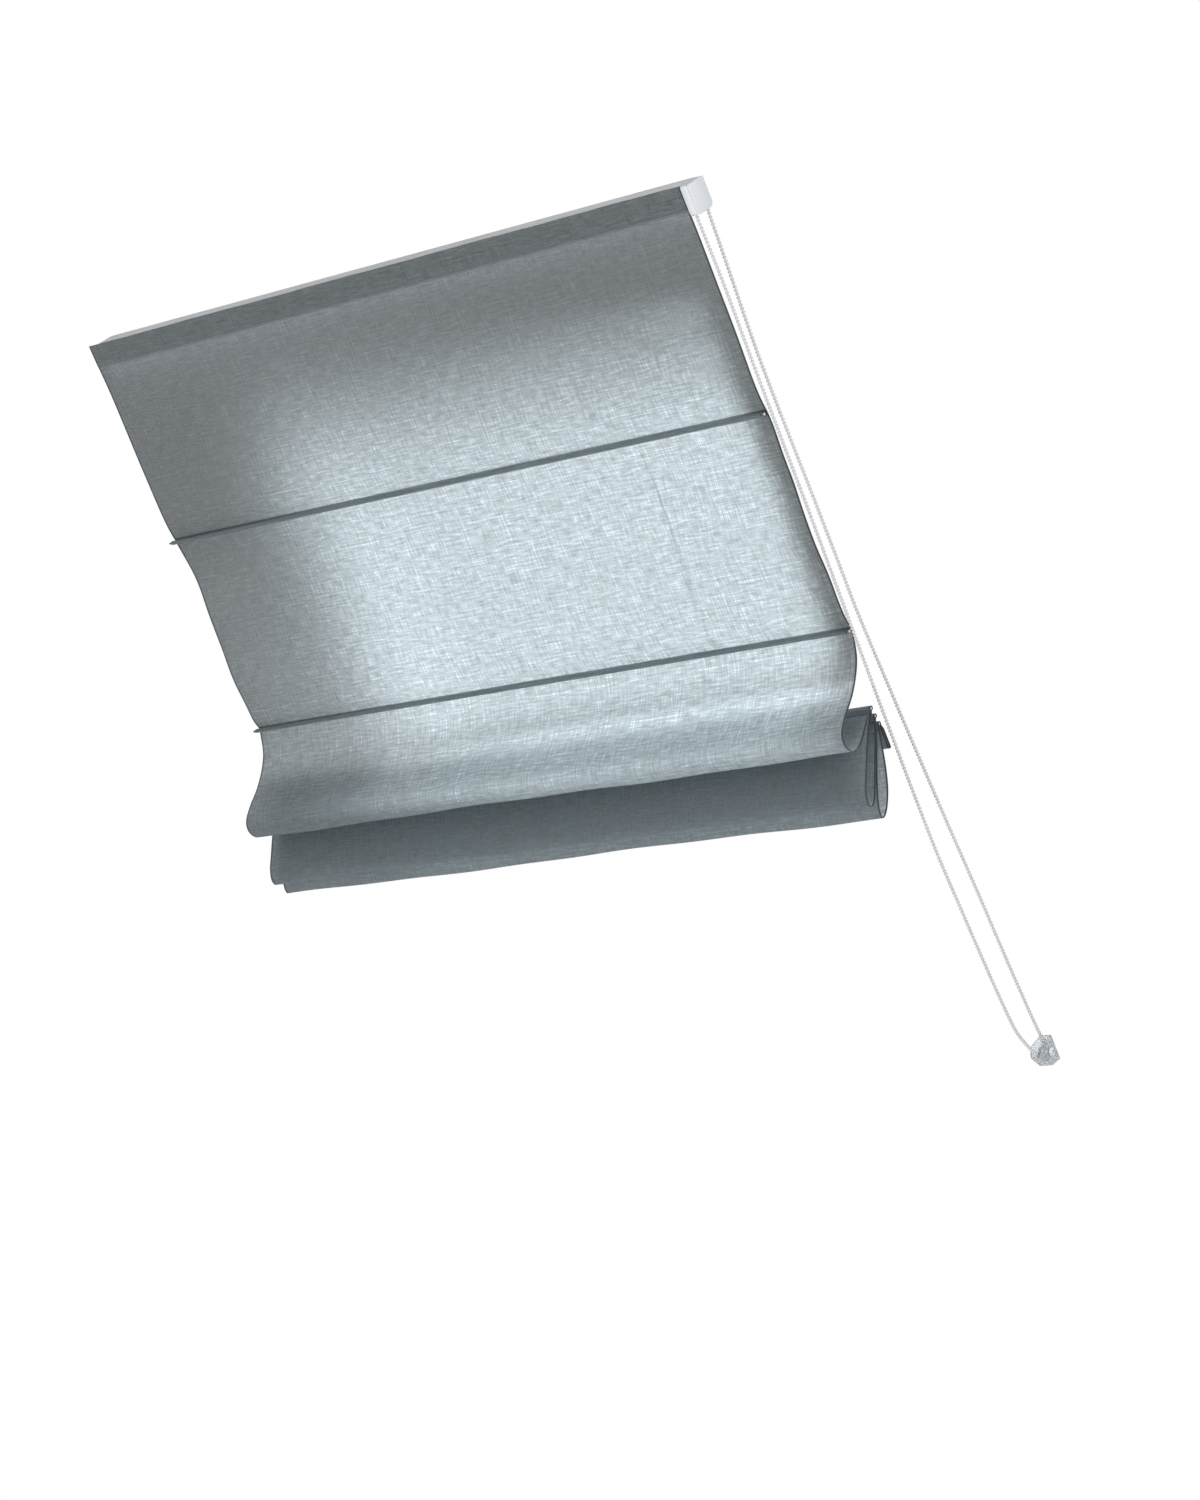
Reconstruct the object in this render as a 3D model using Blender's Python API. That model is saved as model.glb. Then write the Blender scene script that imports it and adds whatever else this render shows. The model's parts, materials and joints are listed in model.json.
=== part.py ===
"""Roman blind for a roof window: a fabric blind on rods, lifted by cords from a chain-driven headrail.

Units are metres and +Z is up. The blind hangs under a ceiling that slopes down and away from the room.
Everything is drawn in the slope frame and turned into the world by one empty:
  x runs along the headrail, y runs down the slope and z runs back towards the ceiling.
The ceiling is the plane z = 0, and the middle of the centre bracket's back face is the origin.
In the notes below, "out" is a distance from the ceiling towards the room, so z = -out.
"""

import math

import bmesh
import bpy
from mathutils import Vector

# Overall sizes
SLOPE = math.radians(55.0)        # the ceiling's angle from level
BLIND_WIDTH = 1.000               # width of the cloth
TOP_PANEL = 0.284                 # top of the cloth to the first rod
UPPER_PANEL = 0.284               # first rod to the second rod
GAP = 0.0003                      # clearance between touching pieces
CUT_PAST = 0.010                  # how far an open-ended cut runs past the face that it opens
THROUGH = 0.030                   # half length of a bore that goes right through

# Headrail
RAIL_HEIGHT = 0.030
RAIL_BACK = 0.0026                # out to the rail's back edge
RAIL_FRONT = 0.0340               # out to the rail's front face
RAIL_WALL = 0.0014
RAIL_LIP = 0.0040                 # width of each lip at the mouth that faces the ceiling
RAIL_INSET_LEFT = 0.0145          # the rail stops this far inside the cloth's left edge

# Brackets
BRACKET_LENGTH = 0.026
BRACKET_INSET = 0.070             # cloth's edge to the middle of each outer bracket
BRACKET_PLATE = 0.0023
BRACKET_LEG = 0.0014
BRACKET_HOLE = 0.0045
BRACKET_HOLE_SPACING = 0.014

# Drive, shaft and drums
SHAFT_DOWN = 0.0175               # from the rail's upper edge to the shaft
SHAFT_OUT = 0.0207
SHAFT_RADIUS = 0.0030
BUSH_RADIUS = 0.0058
HUB_RADIUS = 0.0062
WHEEL_PITCH_RADIUS = 0.0130
WHEEL_WIDTH = 0.0064
WHEEL_WEB = 0.0012
CHAIN_RADIUS = 0.0021
CHAIN_PLAY = 0.0006               # clearance between the chain and the grooves that it runs in
HOUSING_WIDTH = 0.0097
HOUSING_BELOW = 0.0200            # from the shaft down to the housing's lower end
HOUSING_WALL = 0.0010
HOUSING_PLAY = 0.0009             # between the chain on its wheel and the housing's front and back
HOUSING_TOP_PLAY = 0.0014
MOUTH_BELOW_SHAFT = 0.0095        # the housing is open towards the chain from here down
PLUG_DEPTH = 0.0100
COVER_THICKNESS = 0.0018
CAP_THICKNESS = 0.0025
DRUM_INSET = 0.200                # cloth's edge to each drum and its lift cord
DRUM_CORE = 0.0070
DRUM_FLANGE = 0.0090
DRUM_LENGTH = 0.0260
DRUM_CHEEK = 0.0015
CRADLE_WALL = 0.0016
CORD_EYE = 0.0016                 # radius of the hole that leads each cord out of its cradle
CORD_SPOUT = 0.0032               # outer radius of the short tube round that hole
CORD_RADIUS = 0.0005
SPRING_WIRE = 0.0005              # radius of the brake spring's wire
SPRING_SPACE = 0.00045            # free space between the spring's turns
SPRING_TURNS = 2.5
SPRING_START = 0.0008             # from the housing's inner face to the spring's first turn

# Rods, pockets and rings
ROD_RADIUS = 0.0020
ROD_OUT = 0.0422                  # out to the first two rods
CLOTH = 0.0007                    # thickness of one layer of cloth
POCKET_NECK = 0.0050              # rod centre to the end of the stitched neck
POCKET_TIP = 0.0013               # radius of the pocket's folded edge, outside
TIP_REACH = 0.0065                # rod centre to the middle of that edge on the two upper pockets
GATHERED_TIP_REACH = 0.0022       # the same on the gathered pockets, which are drawn tight
TIP_LEAN = math.radians(15.0)     # the upper pockets' folded edges lean up the slope
RING_RADIUS = 0.0030
RING_WIRE = 0.0008
STOP_LENGTH = 0.0090
STOP_RADIUS = 0.0032
TAPE_THICKNESS = 0.0008
HEM_OVERLAP = 0.0010
FLAP_HEIGHT = 0.031
BAR_HEIGHT = 0.0250
BAR_THICKNESS = 0.0030

# Gathered rods, as distances towards the room and below the second rod's line
STACK = [(-0.0410, 0.0873), (-0.0492, 0.0956), (-0.0574, 0.1038)]
STACK_LINE_OUT = 0.0420           # out to the line that those distances are measured from

# Chain tensioner on the ceiling
TENSIONER_DOWN = 1.1698           # from the rail's upper edge to the tensioner's screw
TENSIONER_OUT = 0.0126
TENSIONER_SIDE = 0.0195           # from the cloth's right edge to the chain's middle there
TENSIONER_WALL = 0.0016
TENSIONER_NEAR = 0.0060           # chain middle to the left plate's outer face
TENSIONER_WIDTH = 0.0160
TENSIONER_ABOVE = 0.0175          # from the screw up the slope to the body's upper edge
TENSIONER_BELOW = 0.0167
TENSIONER_DEPTH = 0.0365          # how far the body would reach out if its corners were sharp
TROUGH_START = 0.0055             # the wall under the chain starts this far above the screw
FIXING_HOLE = 0.0032
FIXING_HOLE_INSET = 0.0045        # from the body's upper edge to its fixing hole
PULLEY_PITCH_RADIUS = 0.0084
PULLEY_WRAP = math.radians(122.0)
SCREW_SHANK = 0.0020
SCREW_HEAD = 0.0060
SCREW_HEAD_HEIGHT = 0.0026
SLOT_LENGTH = 0.0074
SLOT_WIDTH = 0.0018
SLOT_DEPTH = 0.0015

HALF_WIDTH = BLIND_WIDTH / 2
RAIL_LEFT = -HALF_WIDTH + RAIL_INSET_LEFT
RAIL_RIGHT = HALF_WIDTH
HOUSING_LEFT = HALF_WIDTH + GAP
SHAFT_Y = SHAFT_DOWN - RAIL_HEIGHT / 2
SHAFT_Z = -SHAFT_OUT
WHEEL_X = HOUSING_LEFT + HOUSING_WALL + 2 * GAP + WHEEL_WIDTH / 2
WHEEL_REACH = WHEEL_PITCH_RADIUS + CHAIN_RADIUS
HOUSING_BACK = SHAFT_OUT - WHEEL_REACH - HOUSING_PLAY - HOUSING_WALL
HOUSING_FRONT = SHAFT_OUT + WHEEL_REACH + HOUSING_PLAY + HOUSING_WALL
DRUM_X = HALF_WIDTH - DRUM_INSET
BRACKET_X = HALF_WIDTH - BRACKET_INSET
CAVITY = RAIL_HEIGHT / 2 - RAIL_WALL
CORD_OUT = SHAFT_OUT + DRUM_CORE + CORD_RADIUS + GAP


def down(distance):
    """The y of a point this far down the slope from the rail's upper edge."""
    return distance - RAIL_HEIGHT / 2


def hanging(room, below, start=(TOP_PANEL + UPPER_PANEL, STACK_LINE_OUT)):
    """Turn level and plumb distances from a start point into (distance down the slope, out)."""
    along = below * math.sin(SLOPE) - room * math.cos(SLOPE)
    out = below * math.cos(SLOPE) + room * math.sin(SLOPE)
    return start[0] + along, start[1] + out


ROD_PLACES = [(TOP_PANEL, ROD_OUT), (TOP_PANEL + UPPER_PANEL, ROD_OUT)]
ROD_PLACES += [hanging(room, below) for room, below in STACK]

# Directions in the slope frame, as (y, z): where each pocket's neck points, and the side of the neck
# that the cloth from the rod above comes in on
PLUMB = (math.sin(SLOPE), -math.cos(SLOPE))
TO_ROOM = (-math.cos(SLOPE), -math.sin(SLOPE))
TO_CEILING = (0.0, 1.0)
UP_SLOPE = (-1.0, 0.0)
LEANING = (-math.sin(TIP_LEAN), -math.cos(TIP_LEAN))
UPWARD = (-PLUMB[0], -PLUMB[1])

# Turns that take a solid made along x and lay it down the slope, or stand it on the ceiling
DOWN_SLOPE = (0.0, 0.0, math.pi / 2)
ON_CEILING = (0.0, math.pi / 2, 0.0)

# Each pocket's stitched neck and folded tip, and the side that the cloth comes in on, for rods 1 to 5
NECK_WAYS = [TO_CEILING, TO_CEILING, PLUMB, PLUMB, PLUMB]
TIP_WAYS = [LEANING, LEANING, UPWARD, UPWARD, UPWARD]
TIP_REACHES = [TIP_REACH, TIP_REACH] + [GATHERED_TIP_REACH] * 3
ENTRY_SIDES = [UP_SLOPE, UP_SLOPE, TO_ROOM, TO_ROOM, TO_ROOM]


def clear_scene():
    for item in list(bpy.data.objects):
        bpy.data.objects.remove(item, do_unlink=True)


def finish_of(name, colour, roughness, metallic=0.0, alpha=1.0):
    made = bpy.data.materials.new(name)
    made.use_nodes = True
    shader = made.node_tree.nodes["Principled BSDF"]
    shader.inputs["Base Color"].default_value = (*colour, 1.0)
    shader.inputs["Roughness"].default_value = roughness
    shader.inputs["Metallic"].default_value = metallic
    shader.inputs["Alpha"].default_value = alpha
    made.diffuse_color = (*colour, alpha)
    return made


def add_empty(name, parent=None, location=(0.0, 0.0, 0.0), rotation=(0.0, 0.0, 0.0)):
    empty = bpy.data.objects.new(name, None)
    bpy.context.scene.collection.objects.link(empty)
    empty.parent = parent
    empty.location = location
    empty.rotation_euler = rotation
    return empty


def add_solid(name, solid, finish, parent, location=(0.0, 0.0, 0.0), smooth=False):
    """Make an object from a closed bmesh, with its faces pointing out."""
    bmesh.ops.recalc_face_normals(solid, faces=solid.faces)
    mesh = bpy.data.meshes.new(name)
    solid.to_mesh(mesh)
    solid.free()
    if smooth:
        mesh.shade_smooth()
        mesh.set_sharp_from_angle(angle=math.radians(35))
    item = bpy.data.objects.new(name, mesh)
    bpy.context.scene.collection.objects.link(item)
    item.parent = parent
    item.location = location
    mesh.materials.append(finish)
    return item


def combine(item, tool, operation):
    """Cut a tool from an object, or join it on. The tool stays as a hidden guide."""
    tool.hide_render = True
    tool.display_type = "WIRE"
    change = item.modifiers.new(tool.name, "BOOLEAN")
    change.operation = operation
    change.solver = "EXACT"
    change.object = tool


def prism(outline, left, right):
    """A closed bmesh: an outline in (y, z), extruded along x."""
    solid = bmesh.new()
    ends = [[solid.verts.new((x, y, z)) for y, z in outline] for x in (left, right)]
    solid.faces.new(ends[0])
    solid.faces.new(reversed(ends[1]))
    count = len(outline)
    for index in range(count):
        after = (index + 1) % count
        solid.faces.new((ends[0][index], ends[0][after], ends[1][after], ends[1][index]))
    return solid


def sleeve(outer, inner, left, right):
    """A closed bmesh: a tube along x whose outer and inner outlines have as many points."""
    solid = bmesh.new()
    count = len(outer)
    loops = [[solid.verts.new((x, y, z)) for y, z in edge] for x in (left, right) for edge in (outer, inner)]
    for first, second in ((0, 1), (1, 3), (3, 2), (2, 0)):
        for index in range(count):
            after = (index + 1) % count
            here, there = loops[first], loops[second]
            solid.faces.new((here[index], here[after], there[after], there[index]))
    return solid


def turned(profile, segments, ring=True):
    """A closed bmesh turned about x from (x, radius) points: a ring, or a solid whose ends lie on x."""
    solid = bmesh.new()
    inner = profile if ring else profile[1:-1]
    loops = []
    for x, radius in inner:
        turn = [math.tau * step / segments for step in range(segments)]
        loops.append([solid.verts.new((x, radius * math.cos(a), radius * math.sin(a))) for a in turn])
    pairs = list(zip(loops, loops[1:]))
    if ring:
        pairs.append((loops[-1], loops[0]))
    for here, there in pairs:
        for step in range(segments):
            after = (step + 1) % segments
            solid.faces.new((here[step], here[after], there[after], there[step]))
    if not ring:
        for loop, x in ((loops[0], profile[0][0]), (loops[-1], profile[-1][0])):
            pole = solid.verts.new((x, 0.0, 0.0))
            for step in range(segments):
                solid.faces.new((loop[step], loop[(step + 1) % segments], pole))
    return solid


def rounded(corners, steps=4):
    """An outline from (y, z, radius) corners, each rounded by an arc of that radius."""
    outline = []
    count = len(corners)
    for index, (y, z, radius) in enumerate(corners):
        here = Vector((y, z))
        if radius == 0:
            outline.append((y, z))
            continue
        before = (Vector(corners[index - 1][:2]) - here).normalized()
        after = (Vector(corners[(index + 1) % count][:2]) - here).normalized()
        half = before.angle(after) / 2
        middle = here + (before + after).normalized() * radius / math.sin(half)
        start = here + before * radius / math.tan(half) - middle
        end = here + after * radius / math.tan(half) - middle
        for step in range(steps + 1):
            share = step / steps
            outline.append(tuple(middle + start.slerp(end, share).normalized() * radius))
    return outline


def inset(corners, distance):
    """The corners of a convex outline moved inwards by a wall, each with its radius less the wall."""
    middle = sum((Vector(corner[:2]) for corner in corners), Vector((0.0, 0.0))) / len(corners)
    moved = []
    count = len(corners)
    for index, (y, z, radius) in enumerate(corners):
        here = Vector((y, z))
        normals = []
        for other in (Vector(corners[index - 1][:2]), Vector(corners[(index + 1) % count][:2])):
            edge = (other - here).normalized()
            normal = Vector((-edge.y, edge.x))
            normals.append(normal if normal.dot(middle - here) > 0 else -normal)
        step = (normals[0] + normals[1]) / (1 + normals[0].dot(normals[1])) * distance
        moved.append((*(here + step), max(radius - distance, 0.0)))
    return moved


def smooth_curve(points, spacing):
    """Points about this far apart on a smooth curve through the points given."""
    points = [Vector(point) for point in points]
    padded = [2 * points[0] - points[1]] + points + [2 * points[-1] - points[-2]]
    curve = []
    for index in range(1, len(padded) - 2):
        before, here, there, after = padded[index - 1 : index + 3]
        steps = max(1, round((there - here).length / spacing))
        for step in range(steps):
            t = step / steps
            slope_in = (there - before) / 2
            slope_out = (after - here) / 2
            curve.append(
                (2 * t**3 - 3 * t**2 + 1) * here
                + (t**3 - 2 * t**2 + t) * slope_in
                + (3 * t**2 - 2 * t**3) * there
                + (t**3 - t**2) * slope_out
            )
    return curve + [points[-1]]


def directions(curve):
    """The unit direction of a curve at each of its points."""
    ends = [2 * curve[0] - curve[1]] + curve + [2 * curve[-1] - curve[-2]]
    return [(ahead - behind).normalized() for behind, ahead in zip(ends, ends[2:])]


def ribbon(centre, ways, thickness, left, right):
    """A closed bmesh: a sheet of even thickness along a centre line in (y, z), extruded along x."""
    solid = bmesh.new()
    sides = []
    for point, way in zip(centre, ways):
        across = Vector((-way.y, way.x)) * thickness / 2
        corners = [(x, *(point + side * across)) for x in (left, right) for side in (-1, 1)]
        sides.append([solid.verts.new(corner) for corner in corners])
    for here, there in zip(sides, sides[1:]):
        for first, second in ((0, 1), (1, 3), (3, 2), (2, 0)):
            solid.faces.new((here[first], here[second], there[second], there[first]))
    for end in (sides[0], sides[-1]):
        solid.faces.new((end[0], end[1], end[3], end[2]))
    return solid


def add_tube(name, points, radius, finish, parent, closed=False, resolution=2):
    """A round cord or wire through a list of points."""
    curve = bpy.data.curves.new(name, "CURVE")
    curve.dimensions = "3D"
    curve.bevel_depth = radius
    curve.bevel_resolution = resolution
    curve.use_fill_caps = not closed
    spline = curve.splines.new("POLY")
    spline.points.add(len(points) - 1)
    for place, point in zip(spline.points, points):
        place.co = (*point, 1.0)
    spline.use_cyclic_u = closed
    curve.materials.append(finish)
    item = bpy.data.objects.new(name, curve)
    bpy.context.scene.collection.objects.link(item)
    item.parent = parent
    return item


def least_gap(points, radius, turn):
    """The least clear gap between points of a coiled wire that lie half a turn or more apart on it."""
    apart = turn // 2
    middles = min((here - there).length
                  for index, here in enumerate(points) for there in points[index + apart :])
    return middles - 2 * radius


def peg(left, right, radius, segments):
    """A plain closed cylinder along x."""
    return turned([(left, 0), (left, radius), (right, radius), (right, 0)], segments, ring=False)


def crosswise(name, solid, owner, location, turn):
    """A cutter or a boss that was made along x, turned another way and placed beside its owner."""
    item = add_solid(name, solid, owner.active_material, owner.parent, location)
    item.rotation_euler = turn
    return item


def rail_outline():
    """The headrail's section: a channel whose mouth faces the ceiling, with a lip on each side."""
    edge = RAIL_HEIGHT / 2
    lip_end = edge - RAIL_LIP
    under_lip = -RAIL_BACK - RAIL_WALL
    floor = -RAIL_FRONT + RAIL_WALL
    corner = 0.0012
    return rounded([
        (-edge, -RAIL_BACK, 0),
        (-edge, -RAIL_FRONT, corner),
        (edge, -RAIL_FRONT, corner),
        (edge, -RAIL_BACK, 0),
        (lip_end, -RAIL_BACK, 0),
        (lip_end, under_lip, 0),
        (CAVITY, under_lip, 0),
        (CAVITY, floor, 0),
        (-CAVITY, floor, 0),
        (-CAVITY, under_lip, 0),
        (-lip_end, under_lip, 0),
        (-lip_end, -RAIL_BACK, 0),
    ], steps=3)


def plug_outline():
    """The block that fits inside the headrail's channel."""
    side = CAVITY - GAP
    top = -RAIL_BACK - RAIL_WALL - GAP
    bottom = -RAIL_FRONT + RAIL_WALL + GAP
    return [(-side, top), (-side, bottom), (side, bottom), (side, top)]


def add_bore(item, name, radius, left, right, place):
    """Cut a round hole along x through an object."""
    cutter = add_solid(name, peg(left, right, radius, 24), item.active_material, item.parent, place)
    combine(item, cutter, "DIFFERENCE")


def build_headrail(frame, looks):
    rail = add_solid("headrail", prism(rail_outline(), RAIL_LEFT, RAIL_RIGHT), looks["white_metal"], frame)
    for side, x in (("left", -DRUM_X), ("right", DRUM_X)):
        pin = peg(-2 * RAIL_WALL, 2 * RAIL_WALL, CORD_SPOUT + GAP + 0.0001, 16)
        hole = crosswise(f"cord_hole_{side}", pin, rail, (x, RAIL_HEIGHT / 2, -CORD_OUT), DOWN_SLOPE)
        combine(rail, hole, "DIFFERENCE")

    side = RAIL_HEIGHT / 2
    cap_face = [(-side, -RAIL_BACK, 0.001), (-side, -RAIL_FRONT, 0.002),
                (side, -RAIL_FRONT, 0.002), (side, -RAIL_BACK, 0.001)]
    cap_left = RAIL_LEFT - GAP - CAP_THICKNESS
    finish = looks["white_plastic"]
    cap = add_solid("left_end_cap", prism(rounded(cap_face), cap_left, RAIL_LEFT - GAP), finish, frame)
    plug_shape = prism(plug_outline(), RAIL_LEFT - CAP_THICKNESS / 2, RAIL_LEFT + PLUG_DEPTH)
    combine(cap, add_solid("left_plug", plug_shape, finish, frame), "UNION")
    add_bore(cap, "left_bush_seat", BUSH_RADIUS, 0, PLUG_DEPTH + CUT_PAST, (RAIL_LEFT, SHAFT_Y, SHAFT_Z))
    bore = SHAFT_RADIUS + GAP
    outside = BUSH_RADIUS - GAP
    bush_end = PLUG_DEPTH + 0.001
    bush = turned([(GAP, bore), (GAP, outside), (bush_end, outside), (bush_end, bore)], 32)
    add_solid("shaft_bush", bush, looks["clear_plastic"], frame, (RAIL_LEFT, SHAFT_Y, SHAFT_Z), smooth=True)


def bracket_outline():
    """A ceiling clip's section: a back plate with two sprung legs that hook behind the rail's lips."""
    half = CAVITY - 0.001
    leg_outer = RAIL_HEIGHT / 2 - RAIL_LIP - GAP
    leg_inner = leg_outer - BRACKET_LEG
    hook_top = -RAIL_BACK - RAIL_WALL - GAP
    hook_bottom = hook_top - BRACKET_LEG
    right = [(half, 0.0), (half, -BRACKET_PLATE), (leg_outer, -BRACKET_PLATE), (leg_outer, hook_top),
             (half, hook_top), (leg_outer, hook_bottom), (leg_inner, hook_bottom),
             (leg_inner, -BRACKET_PLATE)]
    return right + [(-y, z) for y, z in reversed(right)]


def build_brackets(frame, looks):
    half = BRACKET_LENGTH / 2
    for name, x in (("left", -BRACKET_X), ("centre", 0.0), ("right", BRACKET_X)):
        clip = add_solid(f"ceiling_bracket_{name}", prism(bracket_outline(), -half, half),
                         looks["steel"], frame, (x, 0.0, 0.0))
        for number, offset in enumerate((-BRACKET_HOLE_SPACING / 2, BRACKET_HOLE_SPACING / 2)):
            pin = peg(-2 * BRACKET_PLATE, 2 * BRACKET_PLATE, BRACKET_HOLE / 2, 20)
            hole = crosswise(f"bracket_hole_{name}_{number}", pin, clip, (x + offset, 0.0, 0.0), ON_CEILING)
            combine(clip, hole, "DIFFERENCE")


def housing_corners(shrink=0.0):
    """The drive housing's outline: square at the top, rounded at the lower end where the chain leaves."""
    top = SHAFT_Y - WHEEL_REACH - HOUSING_TOP_PLAY - HOUSING_WALL + shrink
    bottom = SHAFT_Y + HOUSING_BELOW - shrink
    back = -HOUSING_BACK - shrink
    front = -HOUSING_FRONT + shrink
    return [(top, back, 0.0015), (top, front, 0.0015), (bottom, front, 0.0050), (bottom, back, 0.0080)]


def build_drive(frame, looks):
    inner_face = HOUSING_LEFT + HOUSING_WALL
    outer_edge = HOUSING_LEFT + HOUSING_WIDTH
    room_end = outer_edge + CUT_PAST
    finish = looks["white_plastic"]
    shell = prism(rounded(housing_corners(), 6), HOUSING_LEFT, outer_edge)
    housing = add_solid("drive_housing", shell, finish, frame)
    inside = rounded(housing_corners(HOUSING_WALL), 6)
    room = add_solid("housing_room", prism(inside, inner_face, room_end), finish, frame)
    combine(housing, room, "DIFFERENCE")
    mouth_top = SHAFT_Y + MOUTH_BELOW_SHAFT
    mouth_end = SHAFT_Y + HOUSING_BELOW + CUT_PAST
    mouth_front = -HOUSING_FRONT + HOUSING_WALL
    outlet = [(mouth_top, mouth_front), (mouth_top, 0.0), (mouth_end, 0.0), (mouth_end, mouth_front)]
    mouth = add_solid("housing_mouth", prism(outlet, inner_face, room_end), finish, frame)
    combine(housing, mouth, "DIFFERENCE")
    plug_shape = prism(plug_outline(), RAIL_RIGHT - PLUG_DEPTH, HOUSING_LEFT + HOUSING_WALL / 2)
    combine(housing, add_solid("housing_plug", plug_shape, finish, frame), "UNION")
    hub_middle = (inner_face, SHAFT_Y, SHAFT_Z)
    hub_shape = peg(-HOUSING_WALL / 2, WHEEL_WIDTH - WHEEL_WEB, HUB_RADIUS, 28)
    combine(housing, add_solid("housing_hub", hub_shape, finish, frame, hub_middle), "UNION")
    add_bore(housing, "housing_bore", SHAFT_RADIUS + GAP, -THROUGH, THROUGH, hub_middle)

    cover_left = outer_edge + GAP
    cover = prism(rounded(housing_corners(), 8), cover_left, cover_left + COVER_THICKNESS)
    add_solid("drive_cover", cover, finish, frame)

    coil_radius = HUB_RADIUS + GAP + SPRING_WIRE
    pitch = 2 * SPRING_WIRE + SPRING_SPACE
    per_turn = 14
    coil = []
    for step in range(round(SPRING_TURNS * per_turn) + 1):
        angle = math.tau * step / per_turn
        x = inner_face + SPRING_START + pitch * step / per_turn
        y = SHAFT_Y + coil_radius * math.cos(angle)
        z = SHAFT_Z + coil_radius * math.sin(angle)
        coil.append(Vector((x, y, z)))
    add_tube("brake_spring", coil, SPRING_WIRE, looks["steel"], frame, resolution=1)
    print(f"brake spring: least gap to itself {1000 * least_gap(coil, SPRING_WIRE, per_turn):.2f} mm")
    return coil_radius + SPRING_WIRE


def build_shaft(frame, looks, spring_outside):
    """The shaft, and the wheel and drums that are keyed to it, on one empty on the shaft's axis."""
    axis = add_empty("shaft_axis", frame, (0.0, SHAFT_Y, SHAFT_Z))
    finish = looks["white_plastic"]
    start = RAIL_LEFT + 0.002
    end = WHEEL_X + WHEEL_WIDTH / 2 - GAP
    chamfer = 0.0004
    rod = turned([(start, 0), (start, SHAFT_RADIUS - chamfer), (start + chamfer, SHAFT_RADIUS),
                  (end - chamfer, SHAFT_RADIUS), (end, SHAFT_RADIUS - chamfer), (end, 0)], 24, ring=False)
    add_solid("drive_shaft", rod, looks["steel"], axis, smooth=True)

    half = WHEEL_WIDTH / 2
    groove_floor = WHEEL_PITCH_RADIUS - CHAIN_RADIUS - CHAIN_PLAY
    rim = WHEEL_PITCH_RADIUS - 0.0004
    groove_half = CHAIN_RADIUS + GAP
    bore = SHAFT_RADIUS + GAP
    inner = spring_outside + GAP
    profile = [(-half, inner), (-half, rim), (-groove_half - GAP, rim), (-groove_half, groove_floor + 0.0008),
               (-groove_half / 2, groove_floor), (groove_half / 2, groove_floor),
               (groove_half, groove_floor + 0.0008), (groove_half + GAP, rim), (half, rim),
               (half, bore), (half - WHEEL_WEB, bore), (half - WHEEL_WEB, inner)]
    add_solid("chain_wheel", turned(profile, 36), finish, axis, (WHEEL_X, 0.0, 0.0), smooth=True)

    for side, x in (("left", -DRUM_X), ("right", DRUM_X)):
        reach = DRUM_LENGTH / 2
        inside = reach - DRUM_CHEEK
        spool = [(-reach, bore), (-reach, DRUM_FLANGE), (-inside, DRUM_FLANGE), (-inside, DRUM_CORE),
                 (inside, DRUM_CORE), (inside, DRUM_FLANGE), (reach, DRUM_FLANGE), (reach, bore)]
        add_solid(f"cord_drum_{side}", turned(spool, 28), finish, axis, (x, 0.0, 0.0), smooth=True)


def build_cradles(frame, looks):
    """A holder for each drum: a base on the rail's front wall, two cheeks on the shaft, a cord outlet."""
    reach = DRUM_LENGTH / 2 + GAP
    base_front = -RAIL_FRONT + RAIL_WALL + GAP
    base_back = base_front + 0.0012
    side = CAVITY - GAP
    tongue_side = side - 0.0012
    cheek_back = SHAFT_Z + SHAFT_RADIUS + 0.0035
    tongue_back = -CORD_OUT + CORD_SPOUT + 0.0013
    finish = looks["white_plastic"]
    for name, x in (("left", -DRUM_X), ("right", DRUM_X)):
        middle = (x, 0.0, 0.0)
        base = [(-side, base_front), (side, base_front), (side, base_back), (-side, base_back)]
        base_shape = prism(base, -reach - CRADLE_WALL, reach + CRADLE_WALL)
        cradle = add_solid(f"drum_cradle_{name}", base_shape, finish, frame, middle)
        plate = [(-side, base_front), (side, base_front), (side, cheek_back), (-side, cheek_back)]
        for way, left in (("left", -reach - CRADLE_WALL), ("right", reach)):
            shape = prism(plate, left, left + CRADLE_WALL)
            cheek = add_solid(f"cradle_{way}_cheek_{name}", shape, finish, frame, middle)
            combine(cradle, cheek, "UNION")
        lug = [(tongue_side, base_front), (side, base_front), (side, tongue_back), (tongue_side, tongue_back)]
        shape = prism(lug, -reach - CRADLE_WALL / 2, reach + CRADLE_WALL / 2)
        combine(cradle, add_solid(f"cradle_tongue_{name}", shape, finish, frame, middle), "UNION")
        outlet = (x, tongue_side, -CORD_OUT)
        spout = peg(CRADLE_WALL / 4, side - tongue_side + 2 * RAIL_WALL - GAP, CORD_SPOUT, 20)
        combine(cradle, crosswise(f"cradle_spout_{name}", spout, cradle, outlet, DOWN_SLOPE), "UNION")
        eye = peg(-CUT_PAST / 2, CUT_PAST, CORD_EYE, 16)
        combine(cradle, crosswise(f"cradle_eye_{name}", eye, cradle, outlet, DOWN_SLOPE), "DIFFERENCE")
        add_bore(cradle, f"cradle_bore_{name}", SHAFT_RADIUS + GAP, -THROUGH, THROUGH, (x, SHAFT_Y, SHAFT_Z))


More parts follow.
